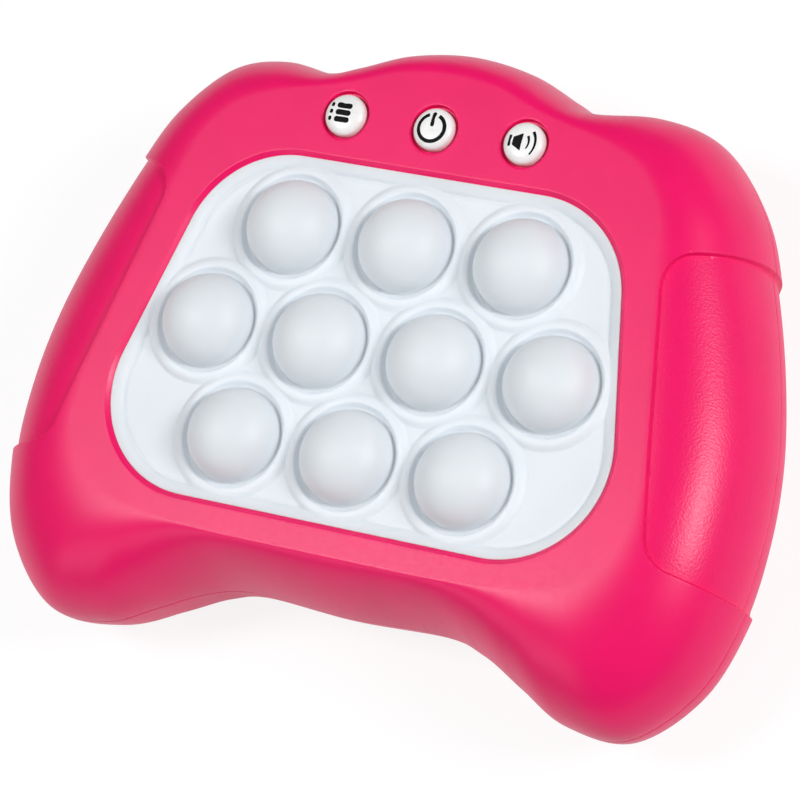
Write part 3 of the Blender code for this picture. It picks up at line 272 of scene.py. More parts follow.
STEEL_GLOSS = (0.22, 0.38)
STEEL_RELIEF = (0.15, 0.01)
STEEL_LINES = {"screw_steel": (0.5, 4), "spring_wire": (0.4, 4), "plated_strip": (0.3, 4, (1, 1, 12))}
MASK_COLOUR = (0.02, 0.20, 0.07)
TRACK_COLOUR = (0.05, 0.34, 0.12)
MASK_ROUGHNESS = 0.35
TRACKS = {"Scale": 1 / (9 * MM), "Mortar Size": 0.05}
TRACK_LAYOUT = {"offset": 0.37, "squash": 0.6}
TRACK_RELIEF = (0.3, 0.05)
NODE_FINISHES = {
    "key_plate": "white_plastic", "main_board": "board", "speaker_cone": "cone_paper",
    "speaker_frame": "screw_steel", "bubble_switch": "switch_plastic", "menu_switch": "switch_plastic",
    "power_switch": "switch_plastic", "sound_switch": "switch_plastic", "bubble_led": "led_resin",
    "battery_cell": "cell_sleeve", "cell_spring": "spring_wire", "contact": "plated_strip",
}

# Stage
FLOOR_REACH = 3.0
FLOOR_LAP = 1.0 * MM
FLOOR_Z = -0.05 * MM
LAMP_AIM = (0, 0, 20.0 * MM)
LAMPS = {
    "key": ((0.94, 0.21, 0.74), 0.34, 8.8),
    "overhead": ((-0.46, -0.06, 1.12), 0.34, 6.2),
    "fill": ((-0.5, -0.9, 0.6), 0.6, 1.6),
    "under": ((0.35, -0.45, -1.0), 0.6, 9.0),
}
FLOOR_COLOUR = (0.86, 0.86, 0.87, 1)
WHITE = (1, 1, 1, 1)
SKY_STRENGTH = 0.18
GLOW_STRENGTH = 1.07
GLOW_SHARE = 0.8
MIRRORED_SHARE = 0.5

# Steps of the mesh work
JOIN_DISTANCE = 1e-7
STAGGER = 0.1 * MM
BISECTIONS = 14
DOMAIN_DECIMALS = 7
EDGE_NEARNESS = 1e-5
FILL_INSIDE = 1
FILL_NEARNESS = 1e-6
SHARP_ANGLE = math.radians(30)
SLOPE_STEP = 0.02 * MM


# Plain geometry

def curve_at(rows, places):
    """Points of a closed smooth curve through the rows, at places counted in rows."""
    rows = np.asarray(rows, dtype=float)
    count = len(rows)
    whole = np.floor(places).astype(int)
    t = (places - whole)[:, None]
    here = rows[whole % count]
    before = rows[(whole - 1) % count]
    after = rows[(whole + 1) % count]
    beyond = rows[(whole + 2) % count]
    straight = 2 * here + (after - before) * t
    bend = (2 * before - 5 * here + 4 * after - beyond) * t ** 2
    twist = (3 * here - before - 3 * after + beyond) * t ** 3
    return (straight + bend + twist) / 2


def mirrored_rows(rows, flip):
    """The right half's rows from the bottom up, then the left half's rows from the top down."""
    return rows[::-1] + [flip(row) for row in rows[1:-1]]


def case_rows(shares):
    """Control points of one outline of the case, anticlockwise from its bottom centre."""
    rows = [(x * HALF_WIDTH, y * HALF_LENGTH) for x, y in shares]
    return mirrored_rows(rows, lambda row: (-row[0], row[1]))


SEAM_ROWS = case_rows(SEAM_OUTLINE_SHARES)
FACE_ROWS = case_rows(FACE_OUTLINE_SHARES)
BACK_ROWS = case_rows(BACK_OUTLINE_SHARES)
FULLNESS_ROWS = mirrored_rows([(share,) for share in FACE_FULLNESS_SHARES], lambda row: row)
ROW_COUNT = len(SEAM_ROWS)
COLUMNS = np.arange(ROW_COUNT * OUTLINE_STEPS) / OUTLINE_STEPS


def unit(vectors):
    """Vectors brought to a length of one."""
    return vectors / np.linalg.norm(vectors, axis=-1, keepdims=True)


def inset_at(rows, places, distance):
    """Points of a closed curve moved inwards along its normals."""
    nudge = 1 / OUTLINE_STEPS
    along = curve_at(rows, places + nudge) - curve_at(rows, places - nudge)
    return curve_at(rows, places) - unit(np.column_stack([along[:, 1], -along[:, 0]])) * distance


def roll(flat, flat_z, wall, wall_z, fullness, turn):
    """Points on the roll from a flat outline to an upright wall, at turns of nought to a quarter."""
    run = np.sin(turn) ** (2 / fullness)
    rise = np.cos(turn).clip(0) ** (2 / fullness)
    plan = flat + (wall - flat) * run[:, None]
    return np.column_stack([plan, wall_z + (flat_z - wall_z) * rise])


def level(outline, height):
    """An outline as points at one height."""
    outline = np.asarray(outline, dtype=float)
    return np.column_stack([outline, np.full(len(outline), height)])


def in_plan(share_x, share_y):
    """A place given as shares of half the case's width, from the middle of the bubbles."""
    return share_x * HALF_WIDTH, GRID_Y + share_y * HALF_WIDTH


def rounded_outline(corners, radius, grow, steps):
    """A polygon with round corners, anticlockwise, grown outwards all round."""
    corners = [np.array(corner, dtype=float) for corner in corners]
    outline = []
    for index, corner in enumerate(corners):
        to_last = unit(corners[index - 1] - corner)
        to_next = unit(corners[(index + 1) % len(corners)] - corner)
        middle = unit(to_last + to_next)
        half_angle = math.acos(np.clip(to_last @ to_next, -1, 1)) / 2
        centre = corner + middle * radius / math.sin(half_angle)
        aim = math.atan2(-middle[1], -middle[0])
        sweep = math.pi / 2 - half_angle
        for step in range(steps + 1):
            angle = aim + sweep * (2 * step / steps - 1)
            outline.append(centre + (radius + grow) * np.array([math.cos(angle), math.sin(angle)]))
    return np.array(outline)


def arc(centre, radius, first, last, steps):
    """Points of an arc in a plane, between two angles in degrees."""
    turns = np.radians(np.linspace(first, last, steps + 1))
    return [(centre[0] + radius * math.cos(turn), centre[1] + radius * math.sin(turn)) for turn in turns]


def circle(radius, steps, x=0, y=0):
    """A ring of points round a centre."""
    turns = np.arange(steps) * math.tau / steps
    return np.column_stack([x + radius * np.cos(turns), y + radius * np.sin(turns)])


def circles(radius, steps, places):
    """Rings of points round several centres."""
    return [circle(radius, steps, x, y) for x, y in places]


def rectangle(half_x, half_y, x=0, y=0):
    """The four corners of an upright rectangle, anticlockwise."""
    return [(x - half_x, y - half_y), (x + half_x, y - half_y),
            (x + half_x, y + half_y), (x - half_x, y + half_y)]


def smooth_step(share):
    """Nought to one with soft ends."""
    share = np.clip(share, 0, 1)
    return share * share * (3 - 2 * share)


def soft_max(first, second, width):
    """The larger of two values, rounded where they cross."""
    mix = np.clip(0.5 + (first - second) / (2 * width), 0, 1)
    return second + (first - second) * mix + width * mix * (1 - mix)


def rounded_distance(points, corners, radius):
    """Signed distance in plan to a convex polygon with round corners, less than nought inside."""
    shrunk = rounded_outline(corners, radius, -radius, 1)[::2]
    inside = np.full(len(points), -np.inf)
    outside = np.full(len(points), np.inf)
    for start, end in zip(shrunk, np.roll(shrunk, -1, axis=0)):
        along = unit(end - start)
        from_start = points - start
        inside = np.maximum(inside, from_start @ np.array([along[1], -along[0]]))
        share = np.clip(from_start @ along, 0, np.linalg.norm(end - start))
        outside = np.minimum(outside, np.linalg.norm(from_start - share[:, None] * along, axis=1))
    return np.where(inside <= 0, inside, outside) - radius


# Meshes

class Skin:
    """Faces gathered from several patches, in which points on the same place become one."""

    def __init__(self):
        self.places = {}
        self.points = []
        self.faces = []

    def add(self, points, faces):
        """Take in one patch."""
        keys = np.round(np.asarray(points) / JOIN_DISTANCE).astype(np.int64)
        numbers = []
        for key, point in zip(map(tuple, keys.tolist()), points):
            if key not in self.places:
                self.places[key] = len(self.points)
                self.points.append(point)
            numbers.append(self.places[key])
        for face in faces:
            joined = list(dict.fromkeys(numbers[corner] for corner in face))
            if len(joined) > 2:
                self.faces.append(joined)

    def loft(self, rings):
        """Bridge a run of closed rings with equal counts."""
        count = len(rings[0])
        faces = []
        for row in range(len(rings) - 1):
            for index in range(count):
                ahead = (index + 1) % count
                low = row * count
                faces.append((low + index, low + ahead, low + count + ahead, low + count + index))
        self.add(np.concatenate(rings), faces)

    def fill(self, loops, heights, hole_count=0, extra=()):
        """Triangles inside the first loop and outside the holes that follow it.

        The other loops only guide the faces. The heights are one height or a function of the plan.
        """
        points, triangles = filled(loops, hole_count, extra)
        rise = heights(points) if callable(heights) else np.full(len(points), heights)
        self.add(np.column_stack([points, rise]), triangles)

    def close(self, rings, guides=()):
        """Bridge a run of level rings and fill its lower and upper end."""
        self.loft(rings)
        self.fill([rings[0][:, :2], *guides], rings[0][0, 2])
        self.fill([rings[-1][:, :2]], rings[-1][0, 2])

    def made(self, name):
        """The closed mesh as an object, with its faces pointing out."""
        mesh = bpy.data.meshes.new(name)
        mesh.from_pydata([tuple(point) for point in self.points], [], self.faces)
        mesh_data = bmesh.new()
        mesh_data.from_mesh(mesh)
        bmesh.ops.recalc_face_normals(mesh_data, faces=mesh_data.faces)
        mesh_data.to_mesh(mesh)
        mesh_data.free()
        return linked(name, mesh)


def filled(loops, hole_count, extra):
    """Plan points and triangles inside the first loop and outside the holes."""
    points, edges, sides = [], [], []
    for number, loop in enumerate(loops):
        start = len(points)
        ring = list(range(start, start + len(loop)))
        points.extend(loop)
        edges.extend(zip(ring, ring[1:] + ring[:1]))
        if number <= hole_count:
            sides.append(ring)
    points.extend(extra)
    scaled = [Vector(point) / MM for point in points]
    found = delaunay_2d_cdt(scaled, edges, sides, FILL_INSIDE, FILL_NEARNESS)
    places = np.array([points[origin[0]] if origin else np.array(place) * MM
                       for place, origin in zip(found[0], found[3])])
    triangles = [face for face, origin in zip(found[2], found[5]) if list(origin) == [0]]
    return places, triangles


def linked(name, data):
    """A new object for a mesh, a lamp or a camera."""
    made = bpy.data.objects.new(name, data)
    bpy.context.collection.objects.link(made)
    return made


def turned(name, profile, steps, places):
    """Copies of a closed profile of radius and height turned about upright axes."""
    skin = Skin()
    for x, y in places:
        skin.loft([level(circle(radius, steps, x, y), height) for radius, height in profile])
    return skin.made(name)


def prisms(name, outlines, low, high, mouth=0):
    """Upright prisms of the given outlines, whose lower ends may widen into a chamfer."""
    skin = Skin()
    for outline in outlines:
        outline = np.asarray(outline, dtype=float)
        middle = outline.mean(axis=0)
        rings = [level(outline, low), level(outline, high)]
        if mouth:
            wide = outline + unit(outline - middle) * mouth
            rings = [level(wide, low), level(wide, 0), level(outline, mouth), level(outline, high)]
        skin.close(rings)
    return skin.made(name)


def rods(name, radius, steps, places, low, high, mouth=0):
    """Upright round prisms of one radius at the given places."""
    return prisms(name, circles(radius, steps, places), low, high, mouth)


def vertex_places(mesh):
    """The places of a mesh's points."""
    places = np.empty(len(mesh.vertices) * 3)
    mesh.vertices.foreach_get("co", places)
    return places.reshape(-1, 3)


def combine(target, tool, operation):
    """Work one solid into another and drop the tool."""
    step = target.modifiers.new(operation, "BOOLEAN")
    step.operation = operation
    step.solver = "EXACT"
    step.object = tool
    bpy.context.view_layer.update()
    seen = target.evaluated_get(bpy.context.evaluated_depsgraph_get())
    result = bpy.data.meshes.new_from_object(seen)
    target.modifiers.clear()
    target.data = result
    bpy.data.objects.remove(tool)
    return target


def cut(target, tool):
    """Take the tool's volume out of the target."""
    return combine(target, tool, "DIFFERENCE")


def fuse(target, tool):
    """Join the tool to the target as one body."""
    return combine(target, tool, "UNION")


def shade(made, look):
    """Give a piece its material and smooth shading with sharp creases."""
    made.data.materials.clear()
    made.data.materials.append(look.material)
    made.data.shade_smooth()
    made.data.set_sharp_from_angle(angle=SHARP_ANGLE)
    return made


# Places

def bubble_grid():
    """Centres of the ten bubbles, row by row from the top left."""
    row_pitch = BUBBLE_PITCH * math.sin(math.pi / 3)
    places = []
    for row, count in enumerate(BUBBLE_ROW_COUNTS):
        y = GRID_Y + ((len(BUBBLE_ROW_COUNTS) - 1) / 2 - row) * row_pitch
        places += [((column - (count - 1) / 2) * BUBBLE_PITCH, y) for column in range(count)]
    return places


BUBBLE_PLACES = bubble_grid()
BUTTON_PLACES = [in_plan(side * BUTTON_PITCH_SHARE, BUTTON_ROW_SHARE) for side in (-1, 0, 1)]
SCREW_PLACES = [in_plan(side * x, y) for side in (-1, 1) for x, y in SCREW_PLACE_SHARES]
GRIP_CORNERS = [in_plan(x, y) for x, y in GRIP_CORNER_SHARES]
WINDOW_CORNERS = [in_plan(x, y) for x, y in WINDOW_CORNER_SHARES]
WINDOW_CORNERS += [(-x, y) for x, y in WINDOW_CORNERS[::-1]]


def window_outline(grow):
    """The window's outline, grown or shrunk all round, with points along its straight sides too."""
    corners = rounded_outline(WINDOW_CORNERS, WINDOW_ROUND, grow, WINDOW_STEPS)
    outline = []
    for index in range(len(corners)):
        ahead = corners[(index + 1) % len(corners)]
        steps = SIDE_STEPS if (index + 1) % (WINDOW_STEPS + 1) == 0 else 1
        for step in range(steps):
            outline.append(corners[index] + (ahead - corners[index]) * step / steps)
    return np.array(outline)


# Shells

def grip_distance(points):
    """Signed distance in plan to the edge of the nearer grip."""
    plan = np.column_stack([np.abs(points[:, 0]), points[:, 1]])
    return rounded_distance(plan, GRIP_CORNERS, GRIP_ROUND)


def rear_grip_distance(points):
    """Signed distance to the edge of the nearer grip on the rear shell, which ends above its foot."""
    return soft_max(grip_distance(points), GRIP_FOOT_Z - points[:, 2], GRIP_FOOT_ROUND)


def front_points(domain, depth):
    """Points of the front shoulder, sunk by a depth, for places along and down it."""
    places, turn = domain[:, 0], domain[:, 1]
    wall = inset_at(SEAM_ROWS, places, depth)
    fullness = curve_at(FULLNESS_ROWS, places)[:, 0]
    face = curve_at(FACE_ROWS, places)
    return roll(face, FACE_Z - depth, wall, FRONT_EDGE_Z + SEAM_ROUND, fullness, turn)


def rear_points(domain, depth):
    """Points of the rear shoulder, sunk by a depth, for places along and up it."""
    places, turn = domain[:, 0], domain[:, 1]
    wall = inset_at(SEAM_ROWS, places, depth)
    back = curve_at(BACK_ROWS, places)
    return roll(back, depth, wall, REAR_EDGE_Z - SEAM_ROUND, BACK_FULLNESS, turn)


def sunk_share(distance):
    """How far the surface has sunk into a grip, from nought to one."""
    return smooth_step((GRIP_EDGE_START - distance) / GRIP_EDGE_WIDTH)


def shoulder_domain(rows):
    """A flat grid of quads over the places along the shoulder and the turns down it."""
    mesh_data = bmesh.new()
    grid = []
    for place in [*COLUMNS, ROW_COUNT]:
        grid.append([mesh_data.verts.new((place, math.pi / 2 * row / rows, 0)) for row in range(rows + 1)])
    for first, second in zip(grid, grid[1:]):
        for row in range(rows):
            mesh_data.faces.new((first[row], second[row], second[row + 1], first[row + 1]))
    return mesh_data


def cut_along(domain, field, value):
    """Split the domain's faces where the field has the given value."""
    domain.verts.index_update()
    points = np.array([vertex.co[:2] for vertex in domain.verts])
    beyond = field(points) > value
    edges = [edge for edge in domain.edges
             if beyond[edge.verts[0].index] != beyond[edge.verts[1].index]]
    low = points[[edge.verts[0].index for edge in edges]]
    high = points[[edge.verts[1].index for edge in edges]]
    low_beyond = field(low) > value
    near, far = np.zeros(len(edges)), np.ones(len(edges))
    for _ in range(BISECTIONS):
        middle = (near + far) / 2
        passed = (field(low + (high - low) * middle[:, None]) > value) != low_beyond
        far = np.where(passed, middle, far)
        near = np.where(passed, near, middle)
    split = [bmesh.utils.edge_split(edge, edge.verts[0], share)[1] for edge, share in zip(edges, near)]
    bmesh.ops.connect_verts(domain, verts=split)


def shoulder_patch(skin, rows, distance, points_at):
    """Add the outer shoulder with its sunk grips; the places of its wall's edge and their depths."""
    def field(flat):
        return distance(points_at(flat, 0))

    domain = shoulder_domain(rows)
    for step in range(GRIP_EDGE_CUTS):
        share = (step + 0.5) / GRIP_EDGE_CUTS
        cut_along(domain, field, GRIP_EDGE_START - GRIP_EDGE_WIDTH * share)
    bmesh.ops.triangulate(domain, faces=[face for face in domain.faces if len(face.verts) > 4])
    domain.verts.index_update()
    flat = np.round(np.array([vertex.co[:2] for vertex in domain.verts]), DOMAIN_DECIMALS)
    faces = [[vertex.index for vertex in face.verts] for face in domain.faces]
    domain.free()
    outer = points_at(flat, 0)
    sunk = sunk_share(field(flat))
    skin.add(outer + (points_at(flat, GRIP_DEPTH) - outer) * sunk[:, None], faces)
    places = np.unique(flat[flat[:, 1] > math.pi / 2 - EDGE_NEARNESS, 0])
    places = places[places < ROW_COUNT]
    edge_domain = np.column_stack([places, np.full(len(places), flat[:, 1].max())])
    return places, sunk_share(field(edge_domain))


def edge_rings(places, sunk, edge_z, side):
    """Rings that turn the wall's edge inwards at the seam, sunk in the grips."""
    rings = []
    for across, up in arc((SEAM_ROUND, SEAM_ROUND), SEAM_ROUND, 180, 270, 3):
        outline = inset_at(SEAM_ROWS, places, across)
        deep = inset_at(SEAM_ROWS, places, across + GRIP_DEPTH)
        rings.append(level(outline + (deep - outline) * sunk[:, None], edge_z + side * up))
    return rings


def inner_rings(places, rows, flat_z, wall_z, fullness):
    """Rings of a shell's inner skin, from its flat floor or ceiling to its wall."""
    flat = curve_at(rows, places)
    wall = inset_at(SEAM_ROWS, places, WALL)
    turns = [np.full(len(places), math.pi / 2 * step / INNER_ROWS) for step in range(INNER_ROWS + 1)]
    return [roll(flat, flat_z, wall, wall_z, fullness, turn) for turn in turns]


def window_profile():
    """Growth and height down the window's edge, from the flat face to its foot."""
    slope = EDGE_ROUND * math.tan(math.pi / 8)
    top = arc((WINDOW_CHAMFER + slope, FACE_Z - EDGE_ROUND), EDGE_ROUND, 90, 135, 3)
    foot = arc((EDGE_ROUND, FACE_Z - WINDOW_CHAMFER - slope), EDGE_ROUND, 135, 180, 3)
    return top + foot + [(0, CEILING_Z)]


def dish_profile():
    """Radius and height down a button's dish, from the flat face to the hole's foot."""
    hole = BUTTON_RADIUS + BUTTON_GAP
    floor_z = FACE_Z - DISH_DEPTH
    rim = arc((DISH_RADIUS + DISH_CHAMFER, FACE_Z - DISH_CHAMFER), DISH_CHAMFER, 90, 180, 6)
    foot = arc((DISH_RADIUS - EDGE_ROUND, floor_z + EDGE_ROUND), EDGE_ROUND, 0, -90, 4)
    mouth = arc((hole + EDGE_ROUND / 2, floor_z - EDGE_ROUND / 2), EDGE_ROUND / 2, 90, 180, 3)
    return rim + foot + mouth + [(hole, CEILING_Z)]


def front_shell(look):
    """Upper half of the case: face, shoulder, grips, window and dishes in one closed skin."""
    skin = Skin()
    places, sunk = shoulder_patch(skin, SHOULDER_ROWS, grip_distance, front_points)
    rebate_z = FRONT_EDGE_Z + TONGUE_HEIGHT + FIT_GAP
    seam_skin = inset_at(SEAM_ROWS, places, SEAM_SKIN)
    rebate = [level(seam_skin, FRONT_EDGE_Z), level(seam_skin, rebate_z)]
    fullness = curve_at(FULLNESS_ROWS, places)[:, 0]
    inside = inner_rings(places, FACE_ROWS, CEILING_Z, rebate_z, fullness)
    skin.loft(edge_rings(places, sunk, FRONT_EDGE_Z, 1) + rebate + inside[::-1])
    window, dish = window_profile(), dish_profile()
    skin.loft([level(window_outline(grow), z) for grow, z in window])
    for x, y in BUTTON_PLACES:
        skin.loft([level(circle(radius, BUTTON_STEPS, x, y), z) for radius, z in dish])
    mouth, rim, hole = window[0][0], dish[0][0], dish[-1][0]
    guides = [inset_at(FACE_ROWS, COLUMNS, HELPER_STEP), window_outline(mouth + HELPER_STEP)]
    guides += circles(rim + HELPER_STEP, BUTTON_STEPS, BUTTON_PLACES)
    hole_count = len(BUTTON_PLACES) + 1
    face = [curve_at(FACE_ROWS, COLUMNS), window_outline(mouth)] + circles(rim, BUTTON_STEPS, BUTTON_PLACES)
    skin.fill(face + guides, FACE_Z, hole_count)
    ceiling = [inside[0][:, :2], window_outline(0)] + circles(hole, BUTTON_STEPS, BUTTON_PLACES)
    skin.fill(ceiling, CEILING_Z, hole_count)
    return shade(mark_grips(skin.made("front_case"), grip_distance), look)


def mark_grips(made, distance):
    """Store on each point how far it lies inside a grip, for the grain of the material."""
    mark = made.data.attributes.new("grip", "FLOAT", "POINT")
    inside = -distance(vertex_places(made.data))
    mark.data.foreach_set("value", smooth_step(inside / (2 * GRIP_EDGE_WIDTH)))
    return made


def door_outline(grow):
    """The outline of the door's plate, grown all round."""
    corners = rectangle(DOOR_HALF_LENGTH, DOOR_HALF_WIDTH, 0, BAY_MIDDLE_Y)
    return rounded_outline(corners, DOOR_CORNER, grow, CORNER_STEPS)


def bay_pair(half_x, half_y, x, away):
    """Two equal rectangles on both sides of the bay's middle."""
    return [rectangle(half_x, half_y, x, BAY_MIDDLE_Y + side * away) for side in (-1, 1)]


def rear_additions(shell):
    """Bosses, the speaker's fence, the bay's tub and ledge, and the boss of the door's screw.

    Each starts inside the back's wall, and those that are joined first start a little apart.
    """
    root_z = WALL / 2
    grow = FIT_GAP + LEDGE_WALL
    fuse(shell, rods("rear_bosses", REAR_BOSS_RADIUS, SCREW_STEPS, SCREW_PLACES, root_z, BOSS_JOINT_Z))
    block = prisms("ledge", [door_outline(grow)], root_z, LEDGE_TOP_Z)
    tub = rectangle(BAY_HALF_LENGTH + BAY_WALL, BAY_HALF_WIDTH + BAY_WALL, 0, BAY_MIDDLE_Y)
    fuse(block, prisms("tub", [tub], root_z + STAGGER, BAY_CEILING_Z + BAY_WALL))
    fuse(block, rods("ear_wall", EAR_RADIUS + grow, ROUND_STEPS, [EAR_PLACE], root_z + 2 * STAGGER,
                     EAR_TOP_Z + FIT_GAP + EAR_WALL))
    fuse(block, rods("screw_boss", DOOR_SCREW_BOSS_RADIUS, ROUND_STEPS, [EAR_PLACE], root_z + 2.5 * STAGGER,
                     DOOR_SCREW_TIP_Z + FIT_GAP + EAR_WALL))
    fuse(shell, block)
    well = SPEAKER_RADIUS + FIT_GAP
    fuse(shell, rods("fence", well + SPEAKER_FENCE_WALL, ROUND_STEPS, [SPEAKER_PLACE], root_z,
                     WALL + SPEAKER_FENCE_HEIGHT))
    cut(shell, rods("fence_well", well, ROUND_STEPS, [SPEAKER_PLACE], WALL, WALL + 2 * SPEAKER_FENCE_HEIGHT))


def rear_cuts(shell):
    """The bay, the door's recess, the pockets of its tabs, and the holes."""
    interior = rectangle(BAY_HALF_LENGTH, BAY_HALF_WIDTH, 0, BAY_MIDDLE_Y)
    cut(shell, prisms("interior", [interior], -OVERRUN, BAY_CEILING_Z))
    recess = Skin()
    wide, fit = door_outline(FIT_GAP + MOUTH_CHAMFER), door_outline(FIT_GAP)
    recess.close([level(wide, -OVERRUN), level(wide, 0), level(fit, MOUTH_CHAMFER), level(fit, LEDGE_Z)])
    cut(shell, recess.made("recess"))
    cut(shell, rods("ear", EAR_RADIUS + FIT_GAP, ROUND_STEPS, [EAR_PLACE], -OVERRUN, LEDGE_Z, MOUTH_CHAMFER))
    cut(shell, rods("ear_boss", EAR_BOSS_RADIUS + FIT_GAP, ROUND_STEPS, [EAR_PLACE], -OVERRUN,
                    EAR_TOP_Z + FIT_GAP))
    cut(shell, rods("ear_shank", DOOR_SCREW_RADIUS + DOOR_SCREW_SWAY, SCREW_STEPS, [EAR_PLACE], 0,
                    DOOR_SCREW_TIP_Z + FIT_GAP))
    swing = math.hypot(TAB_REACH, DOOR_THICKNESS) + FIT_GAP
    near, far = DOOR_HALF_LENGTH + swing, BAY_HALF_LENGTH - FIT_GAP
    pockets = bay_pair((near - far) / 2, TAB_WIDTH / 2 + FIT_GAP, -(near + far) / 2, TAB_Y)
    cut(shell, prisms("pockets", pockets, DOOR_TOP_Z - TAB_THICKNESS - FIT_GAP, DOOR_INSET + swing))
    cut(shell, rods("heads", SCREW_HEAD_RADIUS + FIT_GAP, SCREW_STEPS, SCREW_PLACES, -OVERRUN,
                    SCREW_SEAT_Z + FIT_GAP, MOUTH_CHAMFER))
    cut(shell, rods("shanks", SCREW_SHANK_RADIUS + FIT_GAP, SCREW_STEPS, SCREW_PLACES, 0,
                    BOSS_JOINT_Z + OVERRUN))
    holes = [place for ring, count in enumerate(SPEAKER_HOLE_COUNTS)
             for place in circle(ring * SPEAKER_HOLE_PITCH, count, *SPEAKER_PLACE)]
    cut(shell, rods("holes", SPEAKER_HOLE_RADIUS, SCREW_STEPS, holes, -OVERRUN, WALL + FIT_GAP,
                    MOUTH_CHAMFER))


def rear_shell(look):
    """Lower half of the case, with the grips, the tongue, the bay and the holes."""
    skin = Skin()
    places, sunk = shoulder_patch(skin, REAR_ROWS, rear_grip_distance, rear_points)
    tongue = inset_at(SEAM_ROWS, places, SEAM_SKIN + FIT_GAP)
    tongue_z = REAR_EDGE_Z + TONGUE_HEIGHT
    inside = inner_rings(places, BACK_ROWS, WALL, REAR_EDGE_Z, BACK_FULLNESS)
    rim = [level(tongue, REAR_EDGE_Z), level(tongue, tongue_z),
           level(inset_at(SEAM_ROWS, places, WALL), tongue_z)]
    skin.loft(edge_rings(places, sunk, REAR_EDGE_Z, -1) + rim + inside[::-1])
    skin.fill([curve_at(BACK_ROWS, COLUMNS), inset_at(BACK_ROWS, COLUMNS, HELPER_STEP)], 0)
    skin.fill([inside[0][:, :2]], WALL)
    shell = skin.made("rear_case")
    rear_additions(shell)
    rear_cuts(shell)
    return shade(mark_grips(shell, rear_grip_distance), look)


# Pad, bubbles and buttons

def window_depth(plan):
    """Distance inwards from the window's outline at places in plan."""
    return -rounded_distance(plan, WINDOW_CORNERS, WINDOW_ROUND)


def bubble_reaches(plan):
    """Distances of places in plan from each bubble's middle."""
    return np.array([np.linalg.norm(plan - place, axis=1) for place in BUBBLE_PLACES])


def pad_height(plan):
    """Height of the pad's top at places in plan: floor, lip, rings and the groove round each bubble."""
    depth = window_depth(plan)
    right = np.column_stack([np.abs(plan[:, 0]), plan[:, 1]])
    to_corner = np.linalg.norm(right - WINDOW_CORNERS[0], axis=1)
    corner = smooth_step((FAR_CORNER - to_corner) / (FAR_CORNER - NEAR_CORNER))
    lip = LIP_RISE * (1 - np.clip(depth / LIP_WIDTH, 0, 1) ** 2)
    sweep = SWEEP_RISE * (1 - np.clip(depth / (SWEEP_WIDTH + WIDE_SWEEP * corner), 0, 1)) ** 2
    crease = CREASE_DEPTH * np.exp(-((depth - CREASE_DISTANCE) / CREASE_WIDTH) ** 2)
    height = PAD_FLOOR_Z + lip + sweep - crease
    wells = np.full(len(plan), np.inf)
    for reach in bubble_reaches(plan):
        past = np.clip(reach - RING_CREST, 0, None) / RING_FALL
        height = soft_max(height, RING_TOP_Z - (RING_TOP_Z - PAD_FLOOR_Z) * past ** 2, RING_SOFT)
        share = (reach - WELL_START) / WELL_WIDTH
        rise = WELL_LIFT * smooth_step(share) + np.clip(share - 1, 0, None)
        wells = np.minimum(wells, GROOVE_Z + (RING_TOP_Z - GROOVE_Z) * rise)
    height = -soft_max(-height, -wells, RING_SOFT / 2)
    edge = np.clip((EDGE_ROUND - PAD_LAP - depth) / EDGE_ROUND, 0, 1)
    return height - EDGE_ROUND * (1 - np.sqrt(1 - edge ** 2))


def pad_points():
    """Points that fill the pad's top: rings round the bubbles, loops along the edge, a grid between."""
    kept = []
    radii = np.arange(BUBBLE_RADIUS + FIT_GAP + PAD_FINE, RING_ZONE, PAD_FINE)
    for number, place in enumerate(BUBBLE_PLACES):
        rings = np.concatenate([circle(radius, DOME_STEPS * 2, *place) for radius in radii])
        own = bubble_reaches(rings).argmin(axis=0) == number
        kept.append(rings[own & (window_depth(rings) > 2 * PAD_FINE)])
    depths = np.arange(2 * PAD_FINE, PAD_EDGE_ZONE, PAD_FINE)
    loops = np.concatenate([window_outline(PAD_LAP - depth) for depth in depths])
    kept.append(loops[bubble_reaches(loops).min(axis=0) > RING_ZONE])
    across, along = np.meshgrid(np.arange(-HALF_WIDTH, HALF_WIDTH, PAD_GRID),
                                np.arange(-HALF_LENGTH, HALF_LENGTH, PAD_GRID))
    across[::2] += PAD_GRID / 2
    grid = np.column_stack([across.ravel(), along.ravel()])
    kept.append(grid[(bubble_reaches(grid).min(axis=0) > RING_ZONE) & (window_depth(grid) > PAD_EDGE_ZONE)])
    return np.concatenate(kept)


def follow_slope(made, heights):
    """Shade the faces that follow a height by its slope."""
    mesh = made.data
    points = vertex_places(mesh)
    plan = points[:, :2]
    slope_x, slope_y = [(heights(plan + step) - heights(plan - step)) / (2 * SLOPE_STEP)
                        for step in np.eye(2) * SLOPE_STEP]
    normals = unit(np.column_stack([-slope_x, -slope_y, np.ones(len(plan))]))
    on_top = np.abs(points[:, 2] - heights(plan)) < JOIN_DISTANCE * 10
    corners = np.zeros((len(mesh.loops), 3))
    for face in mesh.polygons:
        if on_top[list(face.vertices)].all() and face.normal.z > 0:
            corners[face.loop_indices] = normals[list(face.vertices)]
    mesh.normals_split_custom_set(corners.tolist())
    return made


